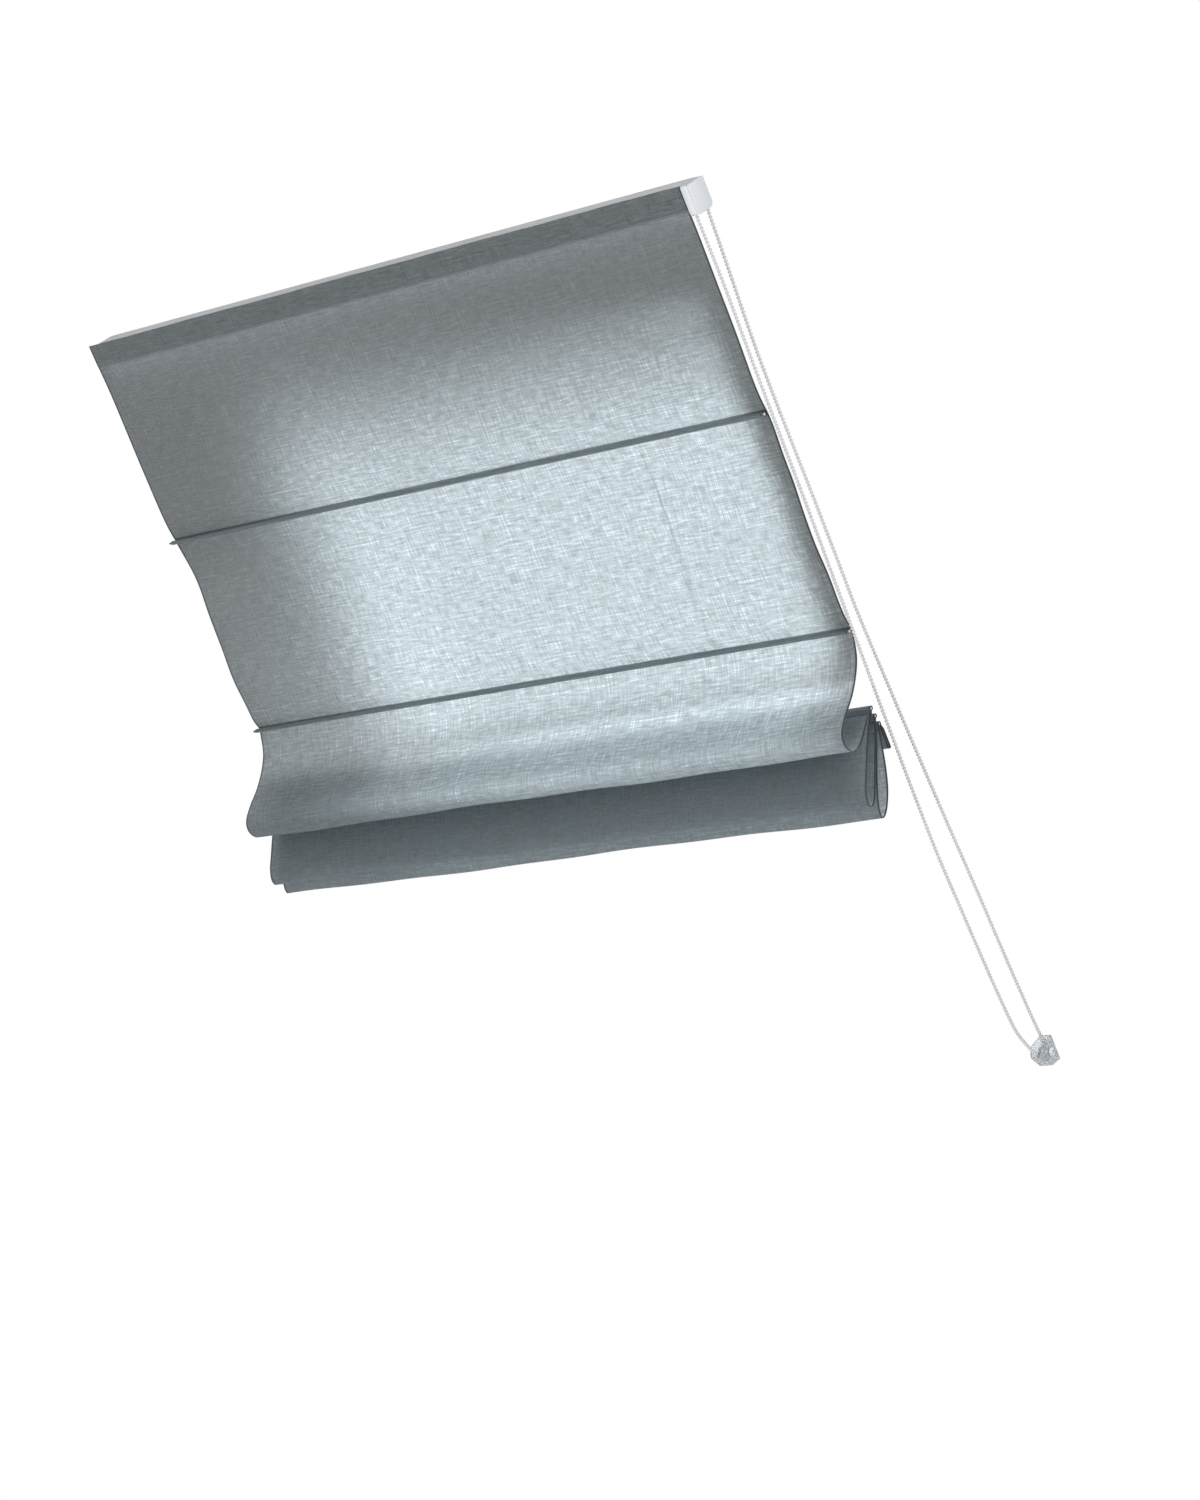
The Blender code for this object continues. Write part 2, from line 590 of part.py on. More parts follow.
def drop_outline(radius, tip_radius, tip_reach, tip_way, steps=10):
    """A loop about the origin that draws in to a smaller rounded tip a given way out."""
    tip_way = Vector(tip_way)
    across = Vector((-tip_way.y, tip_way.x))
    tangent = math.acos((radius - tip_radius) / tip_reach)
    outline = []
    for middle, size, first, sweep in (
        (tip_way * tip_reach, tip_radius, -tangent, 2 * tangent),
        (Vector((0.0, 0.0)), radius, tangent, math.tau - 2 * tangent),
    ):
        for step in range(steps + 1):
            angle = first + sweep * step / steps
            outline.append(middle + size * (math.cos(angle) * tip_way + math.sin(angle) * across))
    return outline


def pocket_sleeve(number):
    """The outer and inner outlines of a rod's pocket: a folded tip, a round body and a stitched neck."""
    way = Vector(NECK_WAYS[number - 1])
    bore = ROD_RADIUS + GAP
    reach = TIP_REACHES[number - 1]
    tip_way = TIP_WAYS[number - 1]
    outer = drop_outline(bore + CLOTH, POCKET_TIP, reach, tip_way)
    inner = drop_outline(bore, POCKET_TIP - CLOTH, reach, tip_way)
    return outer, inner, way


def build_rods(frame, looks):
    ends = HALF_WIDTH - 0.0010
    sew = HALF_WIDTH
    chamfer = 0.0004
    for number, place in enumerate(ROD_PLACES, start=1):
        spot = (0.0, down(place[0]), -place[1])
        rod = turned([(-ends, 0), (-ends, ROD_RADIUS - chamfer), (-ends + chamfer, ROD_RADIUS),
                      (ends - chamfer, ROD_RADIUS), (ends, ROD_RADIUS - chamfer), (ends, 0)], 16, ring=False)
        add_solid(f"rod_{number}", rod, looks["white_rod"], frame, spot, smooth=True)
        outer, inner, way = pocket_sleeve(number)
        sewn = sleeve(outer, inner, -sew, sew)
        pocket = add_solid(f"rod_pocket_{number}", sewn, looks["cloth"], frame, spot)
        across = Vector((-way.y, way.x)) * CLOTH
        start = way * (ROD_RADIUS + GAP + CLOTH / 2)
        end = way * POCKET_NECK
        neck = [start - across, end - across, end + across, start + across]
        tab = add_solid(f"pocket_neck_{number}", prism(neck, -sew, sew), looks["cloth"], frame, spot)
        combine(pocket, tab, "UNION")


def ring_place(number):
    """The middle of the ring on a rod, behind its pocket: (distance down the slope, out)."""
    along, out = ROD_PLACES[number - 1]
    behind = RING_RADIUS + RING_WIRE + GAP
    if NECK_WAYS[number - 1] == TO_CEILING:
        return along, out - POCKET_NECK - GAP - CLOTH - behind
    return along, out - ROD_RADIUS - GAP - CLOTH - behind


def stop_place():
    """The middle of the cord stops' upper ends, behind the hem flap: (distance down the slope, out)."""
    along, out = ROD_PLACES[4]
    return along, out - ROD_RADIUS - BAR_THICKNESS / 2 - GAP - CLOTH - GAP - STOP_RADIUS


def build_rings(frame, looks):
    per_ring = 16
    per_wire = 8
    for number in range(1, 5):
        along, out = ring_place(number)
        for side, x in (("left", -DRUM_X), ("right", DRUM_X)):
            profile = []
            for step in range(per_wire):
                angle = math.tau * step / per_wire
                profile.append((RING_WIRE * math.cos(angle), RING_RADIUS + RING_WIRE * math.sin(angle)))
            ring = add_solid(f"cord_ring_{number}_{side}", turned(profile, per_ring), looks["clear_plastic"],
                             frame, (x, down(along), -out), smooth=True)
            ring.rotation_euler = DOWN_SLOPE
    along, out = stop_place()
    for side, x in (("left", -DRUM_X), ("right", DRUM_X)):
        bell = [(0.0, 0), (0.0, 0.0012), (0.0010, 0.0020), (STOP_LENGTH - 0.0015, STOP_RADIUS),
                (STOP_LENGTH, STOP_RADIUS - 0.0008), (STOP_LENGTH, 0)]
        stop = add_solid(f"cord_stop_{side}", turned(bell, 20, ring=False), looks["clear_plastic"], frame,
                         (x, down(along), -out), smooth=True)
        stop.rotation_euler = DOWN_SLOPE


def build_cords(frame, looks):
    """Each lift cord leaves its drum, passes the rings behind the rods and ends in its stop."""
    end_along, end_out = stop_place()
    route = [(SHAFT_DOWN, CORD_OUT), (down(0.0) + RAIL_HEIGHT + 0.022, CORD_OUT)]
    route += [ring_place(number) for number in range(1, 5)]
    route.append((end_along - GAP, end_out))
    for side, x in (("left", -DRUM_X), ("right", DRUM_X)):
        points = [(x, down(along), -out) for along, out in route]
        add_tube(f"lift_cord_{side}", points, CORD_RADIUS, looks["cord"], frame)


def neck_end(number, entry):
    """Where a sheet of cloth ends below a pocket's neck, on the entry side or on the other one."""
    way = Vector(NECK_WAYS[number - 1])
    across = Vector(ENTRY_SIDES[number - 1]) * (1 if entry else -1)
    along, out = ROD_PLACES[number - 1]
    tip = Vector((along, -out)) + way * (POCKET_NECK + GAP + CLOTH / 2) + across * (CLOTH / 2 + GAP)
    return tip.x, -tip.y


# Centre lines of the cloth between two rods, top to bottom. The first two panels are in (share of the
# panel's height, out past the straight line from end to end), and the others in (towards the room, below)
# from the second rod's line. Each panel folds at the point that FOLD_POINTS counts to, from 0 at its top.
TOP_SAG = [(0.229, -0.0006), (0.444, 0.0004), (0.555, 0.0010), (0.669, 0.0018), (0.827, 0.0033),
           (0.923, 0.0026)]
WAVE = [(0.070, -0.0024), (0.162, -0.0034), (0.268, -0.0032), (0.380, -0.0018), (0.500, 0.0004),
        (0.634, 0.0026), (0.757, 0.0042), (0.863, 0.0046), (0.944, 0.0036)]
LOOP_THREE = [(-0.0085, 0.0110), (-0.0122, 0.0300), (-0.0095, 0.0530), (-0.0015, 0.0790), (0.0105, 0.1030),
              (0.0180, 0.1230), (0.0172, 0.1350), (0.0105, 0.1430), (0.0000, 0.1465), (-0.0105, 0.1435),
              (-0.0205, 0.1310), (-0.0275, 0.1150), (-0.0335, 0.1015)]
LOOP_FOUR = [(-0.0360, 0.1090), (-0.0318, 0.1370), (-0.0290, 0.1700), (-0.0280, 0.1870), (-0.0312, 0.2010),
             (-0.0385, 0.2068), (-0.0445, 0.2010), (-0.0470, 0.1850), (-0.0478, 0.1500), (-0.0490, 0.1200)]
LOOP_FIVE = [(-0.0512, 0.1220), (-0.0508, 0.1500), (-0.0510, 0.1800), (-0.0545, 0.2070), (-0.0625, 0.2175),
             (-0.0700, 0.2060), (-0.0728, 0.1830), (-0.0700, 0.1600), (-0.0640, 0.1360)]
FOLD_POINTS = [3, 5, 9, 6, 5]
CLOTH_STEP = 0.006                # length of each flat step of the cloth's solid


def build_cloth(frame, looks):
    hem_out = RAIL_FRONT + GAP + TAPE_THICKNESS + GAP + CLOTH
    top = (RAIL_HEIGHT + HEM_OVERLAP + GAP, hem_out)
    wave_out = ROD_OUT - POCKET_NECK
    slant = wave_out - hem_out
    above_one = [(TOP_PANEL * share, hem_out + slant * share + extra) for share, extra in TOP_SAG]
    above_two = [(TOP_PANEL + UPPER_PANEL * share, wave_out + extra) for share, extra in WAVE]
    panels = [
        [top] + above_one + [neck_end(1, True)],
        [neck_end(1, False)] + above_two + [neck_end(2, True)],
    ]
    for number, loop in enumerate((LOOP_THREE, LOOP_FOUR, LOOP_FIVE), start=3):
        hung = [hanging(*spot) for spot in loop]
        panels.append([neck_end(number - 1, False)] + hung + [neck_end(number, True)])
    for number, (points, fold) in enumerate(zip(panels, FOLD_POINTS), start=1):
        curve = smooth_curve([(down(along), -out) for along, out in points], CLOTH_STEP)
        ways = directions(curve)
        fold_place = Vector((down(points[fold][0]), -points[fold][1]))
        cut = min(range(len(curve)), key=lambda index: (curve[index] - fold_place).length)
        halves = {
            "upper": (curve[:cut] + [curve[cut] - ways[cut] * GAP / 2], ways[: cut + 1]),
            "lower": ([curve[cut] + ways[cut] * GAP / 2] + curve[cut + 1 :], ways[cut:]),
        }
        for half, (line, turns) in halves.items():
            add_solid(f"panel_{number}_{half}", ribbon(line, turns, CLOTH, -HALF_WIDTH, HALF_WIDTH),
                      looks["cloth"], frame)

    hem_half = RAIL_HEIGHT / 2 + HEM_OVERLAP
    hem = [(-hem_half, -hem_out + CLOTH), (-hem_half, -hem_out - CLOTH), (hem_half, -hem_out - CLOTH),
           (hem_half, -hem_out + CLOTH)]
    add_solid("top_hem", prism(hem, -HALF_WIDTH, HALF_WIDTH), looks["cloth"], frame)
    tape_half = RAIL_HEIGHT / 2 - 0.003
    tape_front = -RAIL_FRONT - GAP
    tape = [(-tape_half, tape_front), (-tape_half, tape_front - TAPE_THICKNESS),
            (tape_half, tape_front - TAPE_THICKNESS), (tape_half, tape_front)]
    add_solid("hook_tape", prism(tape, RAIL_LEFT + 0.004, RAIL_RIGHT - 0.004), looks["tape"], frame)

    along, out = ROD_PLACES[4]
    flap_top = along + ROD_RADIUS + 2 * GAP + CLOTH
    flap_out = out - ROD_RADIUS
    half_bar = BAR_THICKNESS / 2
    inner = [(-BAR_HEIGHT / 2 - GAP, half_bar + GAP), (-BAR_HEIGHT / 2 - GAP, -half_bar - GAP),
             (BAR_HEIGHT / 2 + GAP, -half_bar - GAP), (BAR_HEIGHT / 2 + GAP, half_bar + GAP)]
    flap_above = FLAP_HEIGHT - BAR_HEIGHT / 2 - GAP - CLOTH
    outer = [(-flap_above, half_bar + GAP + CLOTH), (-flap_above, -half_bar - GAP - CLOTH),
             (BAR_HEIGHT / 2 + GAP + CLOTH, -half_bar - GAP - CLOTH),
             (BAR_HEIGHT / 2 + GAP + CLOTH, half_bar + GAP + CLOTH)]
    middle = (0.0, down(flap_top + flap_above), -flap_out)
    add_solid("hem_flap", sleeve(outer, inner, -HALF_WIDTH, HALF_WIDTH), looks["cloth"], frame, middle)
    bar = rounded([(-BAR_HEIGHT / 2, half_bar, 0.001), (-BAR_HEIGHT / 2, -half_bar, 0.001),
                   (BAR_HEIGHT / 2, -half_bar, 0.001), (BAR_HEIGHT / 2, half_bar, 0.001)], 3)
    bar_half = HALF_WIDTH - 0.003
    add_solid("bottom_bar", prism(bar, -bar_half, bar_half), looks["aluminium"], frame, middle)


# Chain strands as (distance down the slope, out), from the drive to the tensioner
CEILING_STRAND = [(0.0450, 0.0095), (0.0800, 0.0123), (0.1200, 0.0155), (0.1700, 0.0200), (0.2200, 0.0236),
                  (0.3000, 0.0260), (0.4000, 0.0274), (0.4800, 0.0294), (0.5500, 0.0312), (0.6400, 0.0288),
                  (0.7400, 0.0256), (0.8400, 0.0220), (0.9400, 0.0172), (1.0300, 0.0140), (1.1000, 0.0106),
                  (1.1400, 0.0078)]
ROOM_STRAND = [(0.0600, 0.0342), (0.1100, 0.0342), (0.1600, 0.0360), (0.2300, 0.0395), (0.3300, 0.0430),
               (0.4300, 0.0468), (0.5200, 0.0510), (0.6000, 0.0550), (0.6900, 0.0588), (0.7800, 0.0622),
               (0.8600, 0.0640), (0.9300, 0.0616), (1.0000, 0.0590), (1.0600, 0.0560), (1.1130, 0.0512),
               (1.1407, 0.0415), (1.1575, 0.0325)]


def chain_x(along):
    """The chain drifts sideways from the drive's wheel to the tensioner's pulley."""
    share = (along - SHAFT_DOWN) / (TENSIONER_DOWN - SHAFT_DOWN)
    return WHEEL_X + (HALF_WIDTH + TENSIONER_SIDE - WHEEL_X) * min(max(share, 0.0), 1.0)


def chain_route():
    """The closed loop of the bead chain: over the wheel, down one strand, round the pulley and back."""
    route = []
    steps = 9
    for step in range(steps + 1):
        angle = math.pi * step / steps
        along = SHAFT_DOWN - WHEEL_PITCH_RADIUS * math.sin(angle)
        out = SHAFT_OUT + WHEEL_PITCH_RADIUS * math.cos(angle)
        route.append((WHEEL_X, along, out))
    strand = [(SHAFT_DOWN + 0.012, SHAFT_OUT - WHEEL_PITCH_RADIUS)] + CEILING_STRAND
    strand += [(TENSIONER_DOWN - 0.006, TENSIONER_OUT - PULLEY_PITCH_RADIUS)]
    route += [(chain_x(along), along, out) for along, out in smooth_curve(strand, 0.045)]
    steps = 7
    for step in range(steps + 1):
        angle = math.pi - PULLEY_WRAP * step / steps
        along = TENSIONER_DOWN + PULLEY_PITCH_RADIUS * math.sin(angle)
        out = TENSIONER_OUT + PULLEY_PITCH_RADIUS * math.cos(angle)
        route.append((chain_x(TENSIONER_DOWN), along, out))
    strand = ROOM_STRAND[::-1] + [(SHAFT_DOWN + 0.012, SHAFT_OUT + WHEEL_PITCH_RADIUS)]
    route += [(chain_x(along), along, out) for along, out in smooth_curve(strand, 0.045)]
    return [(x, down(along), -out) for x, along, out in route]


def build_chain(frame, looks):
    add_tube("bead_chain", chain_route(), CHAIN_RADIUS, looks["chain"], frame, closed=True)


def build_tensioner(frame, looks):
    spot = Vector((HALF_WIDTH + TENSIONER_SIDE, down(TENSIONER_DOWN), -TENSIONER_OUT))
    left = -TENSIONER_NEAR
    right = left + TENSIONER_WIDTH
    wall = TENSIONER_WALL
    back = TENSIONER_OUT
    front = TENSIONER_OUT - TENSIONER_DEPTH
    side = [(-TENSIONER_ABOVE, back, 0.0), (-TENSIONER_ABOVE, front * 0.48, 0.006),
            (-0.0080, front, 0.006), (0.0140, front * 0.41, 0.008), (TENSIONER_BELOW, back, 0.0)]
    finish = looks["clear_plastic"]
    body = add_solid("tensioner_body", prism(rounded(side, 5), left, right), finish, frame, spot)
    inside = prism(rounded(inset(side, wall), 5), left + wall, right - wall)
    combine(body, add_solid("tensioner_room", inside, finish, frame, spot), "DIFFERENCE")
    far = 2 * TENSIONER_ABOVE
    floor = back - wall
    past = front - wall
    entry = prism([(-far, floor), (-TROUGH_START, floor), (-TROUGH_START, past), (-far, past)],
                  left + wall, right - wall)
    combine(body, add_solid("tensioner_mouth", entry, finish, frame, spot), "DIFFERENCE")
    shank = SCREW_SHANK + GAP
    add_bore(body, "tensioner_bore", shank, -THROUGH, THROUGH, spot)
    hole_place = spot + Vector(((left + right) / 2, FIXING_HOLE_INSET - TENSIONER_ABOVE, back))
    pin = peg(-2 * wall, 2 * wall, FIXING_HOLE / 2, 16)
    combine(body, crosswise("tensioner_fixing_hole", pin, body, hole_place, ON_CEILING), "DIFFERENCE")

    pulley_left = left + wall + GAP
    pulley_right = right - wall - GAP
    groove = PULLEY_PITCH_RADIUS - CHAIN_RADIUS - CHAIN_PLAY
    rim_radius = PULLEY_PITCH_RADIUS - 0.0004
    half = CHAIN_RADIUS + GAP
    collar = SCREW_SHANK + 0.0022
    profile = [(pulley_left, shank), (pulley_left, rim_radius), (-half, rim_radius), (-half / 2, groove),
               (half / 2, groove), (half, rim_radius), (half + 0.0012, rim_radius), (half + 0.0012, collar),
               (pulley_right, collar), (pulley_right, shank)]
    add_solid("tensioner_pulley", turned(profile, 28), finish, frame, spot, smooth=True)

    head = right + GAP
    dome = [(left + GAP, 0), (left + GAP, SCREW_SHANK), (head, SCREW_SHANK), (head, SCREW_HEAD),
            (head + 0.3 * SCREW_HEAD_HEIGHT, SCREW_HEAD), (head + 0.7 * SCREW_HEAD_HEIGHT, 0.8 * SCREW_HEAD),
            (head + SCREW_HEAD_HEIGHT, 0.45 * SCREW_HEAD), (head + SCREW_HEAD_HEIGHT, 0)]
    shape = turned(dome, 28, ring=False)
    screw = add_solid("tensioner_screw", shape, looks["chrome"], frame, spot, smooth=True)
    slot_bottom = head + SCREW_HEAD_HEIGHT - SLOT_DEPTH
    slot = [(-SLOT_LENGTH / 2, -SLOT_WIDTH / 2), (SLOT_LENGTH / 2, -SLOT_WIDTH / 2),
            (SLOT_LENGTH / 2, SLOT_WIDTH / 2), (-SLOT_LENGTH / 2, SLOT_WIDTH / 2)]
    for name, turn in (("slot_one", math.radians(25)), ("slot_two", math.radians(115))):
        cut = prism(slot, slot_bottom, head + CUT_PAST)
        combine(screw, crosswise(f"screw_{name}", cut, screw, spot, (turn, 0.0, 0.0)), "DIFFERENCE")


def main():
    clear_scene()
    looks = {
        "cloth": finish_of("slate_cloth", (0.33, 0.38, 0.39), 0.9),
        "tape": finish_of("hook_tape_white", (0.80, 0.80, 0.80), 0.9),
        "white_metal": finish_of("white_rail", (0.82, 0.83, 0.85), 0.35),
        "white_plastic": finish_of("white_plastic", (0.84, 0.84, 0.88), 0.35),
        "white_rod": finish_of("white_rod", (0.85, 0.85, 0.85), 0.4),
        "clear_plastic": finish_of("clear_plastic", (0.80, 0.82, 0.84), 0.15, alpha=0.45),
        "steel": finish_of("zinc_steel", (0.62, 0.63, 0.65), 0.35, 1.0),
        "aluminium": finish_of("aluminium", (0.75, 0.76, 0.77), 0.4, 1.0),
        "chrome": finish_of("chrome", (0.80, 0.80, 0.82), 0.1, 1.0),
        "cord": finish_of("cord_white", (0.85, 0.85, 0.83), 0.8),
        "chain": finish_of("chain_white", (0.86, 0.86, 0.87), 0.3),
    }
    frame = add_empty("slope_frame", rotation=(-SLOPE, 0.0, 0.0))
    build_headrail(frame, looks)
    build_brackets(frame, looks)
    spring_outside = build_drive(frame, looks)
    build_shaft(frame, looks, spring_outside)
    build_cradles(frame, looks)
    build_rods(frame, looks)
    build_rings(frame, looks)
    build_cords(frame, looks)
    build_cloth(frame, looks)
    build_chain(frame, looks)
    build_tensioner(frame, looks)


main()
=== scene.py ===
"""Looks of a roman blind: slate linen on five rods, hung down a slope and worked by a bead chain.

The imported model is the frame, in metres with +Z up. The blind hangs below a plane that slopes, so most
places here are (x along the headrail, distance down the slope, distance out from that plane).
"""

import json
import math
from functools import partial

import bmesh
import bpy
import numpy as np
from mathutils import Matrix, Vector

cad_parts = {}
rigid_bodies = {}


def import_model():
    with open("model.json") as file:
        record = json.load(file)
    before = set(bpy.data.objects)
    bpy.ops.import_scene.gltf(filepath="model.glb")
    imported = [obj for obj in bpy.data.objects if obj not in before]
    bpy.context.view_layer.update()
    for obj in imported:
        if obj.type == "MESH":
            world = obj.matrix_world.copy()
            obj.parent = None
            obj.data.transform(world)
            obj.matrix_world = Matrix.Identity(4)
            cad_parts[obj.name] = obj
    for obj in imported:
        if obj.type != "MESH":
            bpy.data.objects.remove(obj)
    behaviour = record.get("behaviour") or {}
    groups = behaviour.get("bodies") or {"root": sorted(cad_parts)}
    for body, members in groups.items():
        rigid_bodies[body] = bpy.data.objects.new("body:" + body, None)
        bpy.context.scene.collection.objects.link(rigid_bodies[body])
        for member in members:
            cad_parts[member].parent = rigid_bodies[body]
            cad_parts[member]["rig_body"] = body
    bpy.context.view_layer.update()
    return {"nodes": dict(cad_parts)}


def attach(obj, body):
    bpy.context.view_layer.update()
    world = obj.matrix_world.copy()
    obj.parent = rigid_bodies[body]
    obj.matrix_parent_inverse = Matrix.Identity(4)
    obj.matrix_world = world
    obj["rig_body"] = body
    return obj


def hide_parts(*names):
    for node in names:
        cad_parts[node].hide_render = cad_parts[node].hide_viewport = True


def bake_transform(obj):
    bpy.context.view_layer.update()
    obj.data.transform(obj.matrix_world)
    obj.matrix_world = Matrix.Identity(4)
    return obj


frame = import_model()


def mm(rows):
    """Rows of sizes in millimetres, as metres."""
    return [tuple(value / 1000 for value in row) for row in rows]


# The slope and the cloth
SLOPE = math.radians(55.0)
RAIL_MIDDLE = 0.015  # from the rail's upper edge to the origin
HALF_WIDTH = 0.500
CLOTH = 0.0007  # its thickness
GAP = 0.0003
PANEL = 0.284  # height of each of the two flat panels
SECOND_ROD = 2 * PANEL
HEM_OUT = 0.0361  # out to the middle of the top hem
HEM_END = 0.0313  # where the top hem ends and the first panel starts
ROD_OUT = 0.0422
POCKET_NECK = 0.0050
POCKET_CORE = 0.00265  # rod centre to the middle of the cloth round it
POCKET_TIP = 0.00095  # radius of the pocket's folded edge, to the middle of the cloth
NECK_HALF = 0.0006  # half the space between the neck's two layers
NECK_SPOTS = (0.0048, 0.0037)  # where the neck's layers start and end, from the rod's centre
NECK_SEAM = 0.0042
SEAM_PROUD = 0.00012
STACK = mm([(-41.0, 87.3), (-49.2, 95.6), (-57.4, 103.8)])  # rods 3 to 5 as the loops are, below
STACK_LINE_OUT = 0.0420

# The cloth's sheets in the render
ROW_STEP = 0.0035
COLUMN_STEP = 0.0045
SIDE_HEM = 0.0024  # width of the edge that is turned back
HEM_TURN = 0.0004  # how tight that turn is
HEM_GAP = 0.00045  # from the cloth's face to that turned edge
PUCKER = 0.00030  # how far the sewing draws the cloth up beside a seam
PUCKER_REACH = 0.0060
PUCKER_WAVE = 0.0150
# Cloth within this reach of a seam is doubled, and its face there is darkened as painted shade along the
# seam.
SEAM_PAINTED_SHADE_REACH = 0.0030  # cloth beside a seam that is doubled
BEND_REACH = 0.045  # an upper sheet turns within this far of the rod above
STITCH_PITCH = 0.0032
STITCH_HALF = 0.42 * STITCH_PITCH
STITCH_RADIUS = 0.00022
STITCH_INSET = 0.004

# Rods, rings, cords and drums
ROD_RADIUS = 0.0020
RING_RADIUS = 0.0030
RING_WIRE = 0.0008
STOP_RADIUS = 0.0032
BAR_HALF = 0.0015  # half the bottom bar's thickness
SIDES = (("left", -0.300), ("right", 0.300))
CORD_RADIUS = 0.0005
CORD_OUT = 0.0285
CORD_STEP = 0.009
ASKEW = (0.31, 0.52, 0.79)  # a direction that no cord runs in
LEAD_LENGTH = 0.0195  # of the cord from the drum to the rail's mouth
SHAFT = (0.0175, 0.0207)  # down the slope and out
DRUM_CORE = 0.0070
WINDING_TURNS = 8
WINDING_STEPS = 24
WINDING_PITCH = 0.00105
WINDING_RISE = 0.0003  # of the last quarter turn, over the others
RAIL_LEFT = -0.4855

# The bead chain and its tensioner
WHEEL_X = 0.5051
WHEEL_PITCH_RADIUS = 0.0130
CHAIN_RADIUS = 0.0021
CHAIN_STEP = 0.006
BEAD_PITCH = 0.0045
BEAD_RADIUS = 0.0024  # a little more than the plain chain's, as the beads look
BEAD_THREAD = 0.0006
PULLEY = (0.5195, 1.1698, 0.0126)
PULLEY_PITCH_RADIUS = 0.0084
PULLEY_WRAP = math.radians(122.0)
WHEEL_LEAVING = 0.012  # the strands start this far below the shaft
PULLEY_REACHING = 0.006  # and the inner one ends this far above the pulley's middle

# Profiles of the turned pieces in millimetres: (distance along, radius, radius of that corner)
ROD_PROFILE = [(-499, 0, 0), (-499, 2, 0.5), (499, 2, 0.5), (499, 0, 0)]
STOP_PROFILE = [(0, 0, 0), (0, 1.2, 0.3), (1, 2, 0.4), (7.5, 3.2, 0.6), (9, 2.4, 0.4), (9, 0, 0)]
SHAFT_PROFILE = [(-483.5, 0, 0), (-483.5, 3, 0.4), (508, 3, 0.4), (508, 0, 0)]
BUSH_PROFILE = [(0.3, 3.3, 0.1), (0.3, 5.5, 0.3), (11, 5.5, 0.3), (11, 3.3, 0.1)]
DRUM_PROFILE = [(-13, 3.3, 0.1), (-13, 9, 0.3), (-11.5, 9, 0.3), (-11.5, 7, 0.15), (11.5, 7, 0.15),
                (11.5, 9, 0.3), (13, 9, 0.3), (13, 3.3, 0.1)]
WHEEL_PROFILE = [(-3.2, 7.8, 0.1), (-3.2, 12.6, 0.2), (-2.7, 12.6, 0.1), (-2.4, 11.1, 0.2),
                 (-1.2, 10.3, 0.3), (1.2, 10.3, 0.3), (2.4, 11.1, 0.2), (2.7, 12.6, 0.1),
                 (3.2, 12.6, 0.2), (3.2, 3.3, 0.1), (2, 3.3, 0.1), (2, 7.8, 0.2)]
RING_PROFILE = [(1000 * RING_WIRE * math.cos(angle), 1000 * (RING_RADIUS + RING_WIRE * math.sin(angle)), 0)
                for angle in np.arange(12) * math.tau / 12]
PULLEY_PROFILE = [(-4.1, 2.3, 0.1), (-4.1, 8, 0.2), (-2.4, 8, 0.2), (-1.2, 5.7, 0.2), (1.2, 5.7, 0.2),
                  (2.4, 8, 0.2), (3.6, 8, 0.2), (3.6, 4.2, 0.2), (8.1, 4.2, 0.2), (8.1, 2.3, 0.1)]

# Directions as (down the slope, out)
PLUMB = (math.sin(SLOPE), math.cos(SLOPE))
FORWARD = (-math.cos(SLOPE), math.sin(SLOPE))
INWARD = (0.0, -1.0)
UP_SLOPE = (-1.0, 0.0)
LEANING = (-math.sin(math.radians(15.0)), math.cos(math.radians(15.0)))
UPWARD = (-PLUMB[0], -PLUMB[1])
NECK_WAYS = [INWARD] * 2 + [PLUMB] * 3
TIP_WAYS = [LEANING] * 2 + [UPWARD] * 3
TIP_REACHES = [0.0065] * 2 + [0.0022] * 3
ENTRY_SIDES = [UP_SLOPE] * 2 + [FORWARD] * 3

# Centre lines of the cloth between two rods. The first two are (share of the panel's height, out past its
# straight line), and the loops are (forward, below) from the second rod's line.
TOP_SAG = [(0.229, -0.0006), (0.444, 0.0004), (0.555, 0.0010), (0.669, 0.0018), (0.827, 0.0033),
           (0.923, 0.0026)]
WAVE = [(0.070, -0.0024), (0.162, -0.0034), (0.268, -0.0032), (0.380, -0.0018), (0.500, 0.0004),
        (0.634, 0.0026), (0.757, 0.0042), (0.863, 0.0046), (0.944, 0.0036)]
LOOPS = [
    mm([(-8.5, 11), (-12.2, 30), (-9.5, 53), (-1.5, 79), (10.5, 103), (18, 123), (17.2, 135), (10.5, 143),
        (0, 146.5), (-10.5, 143.5), (-20.5, 131), (-27.5, 115), (-33.5, 101.5)]),
    mm([(-36, 109), (-31.8, 137), (-29, 170), (-28, 187), (-31.2, 201), (-38.5, 206.8), (-44.5, 201),
        (-47, 185), (-47.8, 150), (-49, 120)]),
    mm([(-51.2, 122), (-50.8, 150), (-51, 180), (-54.5, 207), (-62.5, 217.5), (-70, 206), (-72.8, 183),
        (-70, 160), (-64, 136)]),
]
FOLD_POINTS = [3, 5, 9, 6, 5]  # the point of each line, from 0 at its top, where the panel folds

# How the cloth settles. Waves across it are (height, length, how it turns on the way down, start).
BOWS = [(0.0007, 0.41, 5.0, 0.6), (0.0003, 0.137, 9.0, 0.0)]
LOOP_SWAYS = [(0.0009, 0.71, 0.0, 0.6), (0.0004, 0.23, 20.0, 2.0)]
LOOP_TILT = (0.0009, -0.0003)  # forward at the right edge, and everywhere
LOOP_DIPS = [(0.0010, 0.62, 1.9, 0.0), (0.0005, 0.19, 2.7, 0.0)]
LOOP_HELD = (0.008, 0.045)  # a loop is still this near a rod, and free this much further on
HEM_WAVERS = [(0.00025, 0.23, 0.0, 0.0), (0.00015, 0.071, 0.0, 1.0)]
PUCKER_DRIFT = [(1.9, 0.083, 40.0, 0.0)]
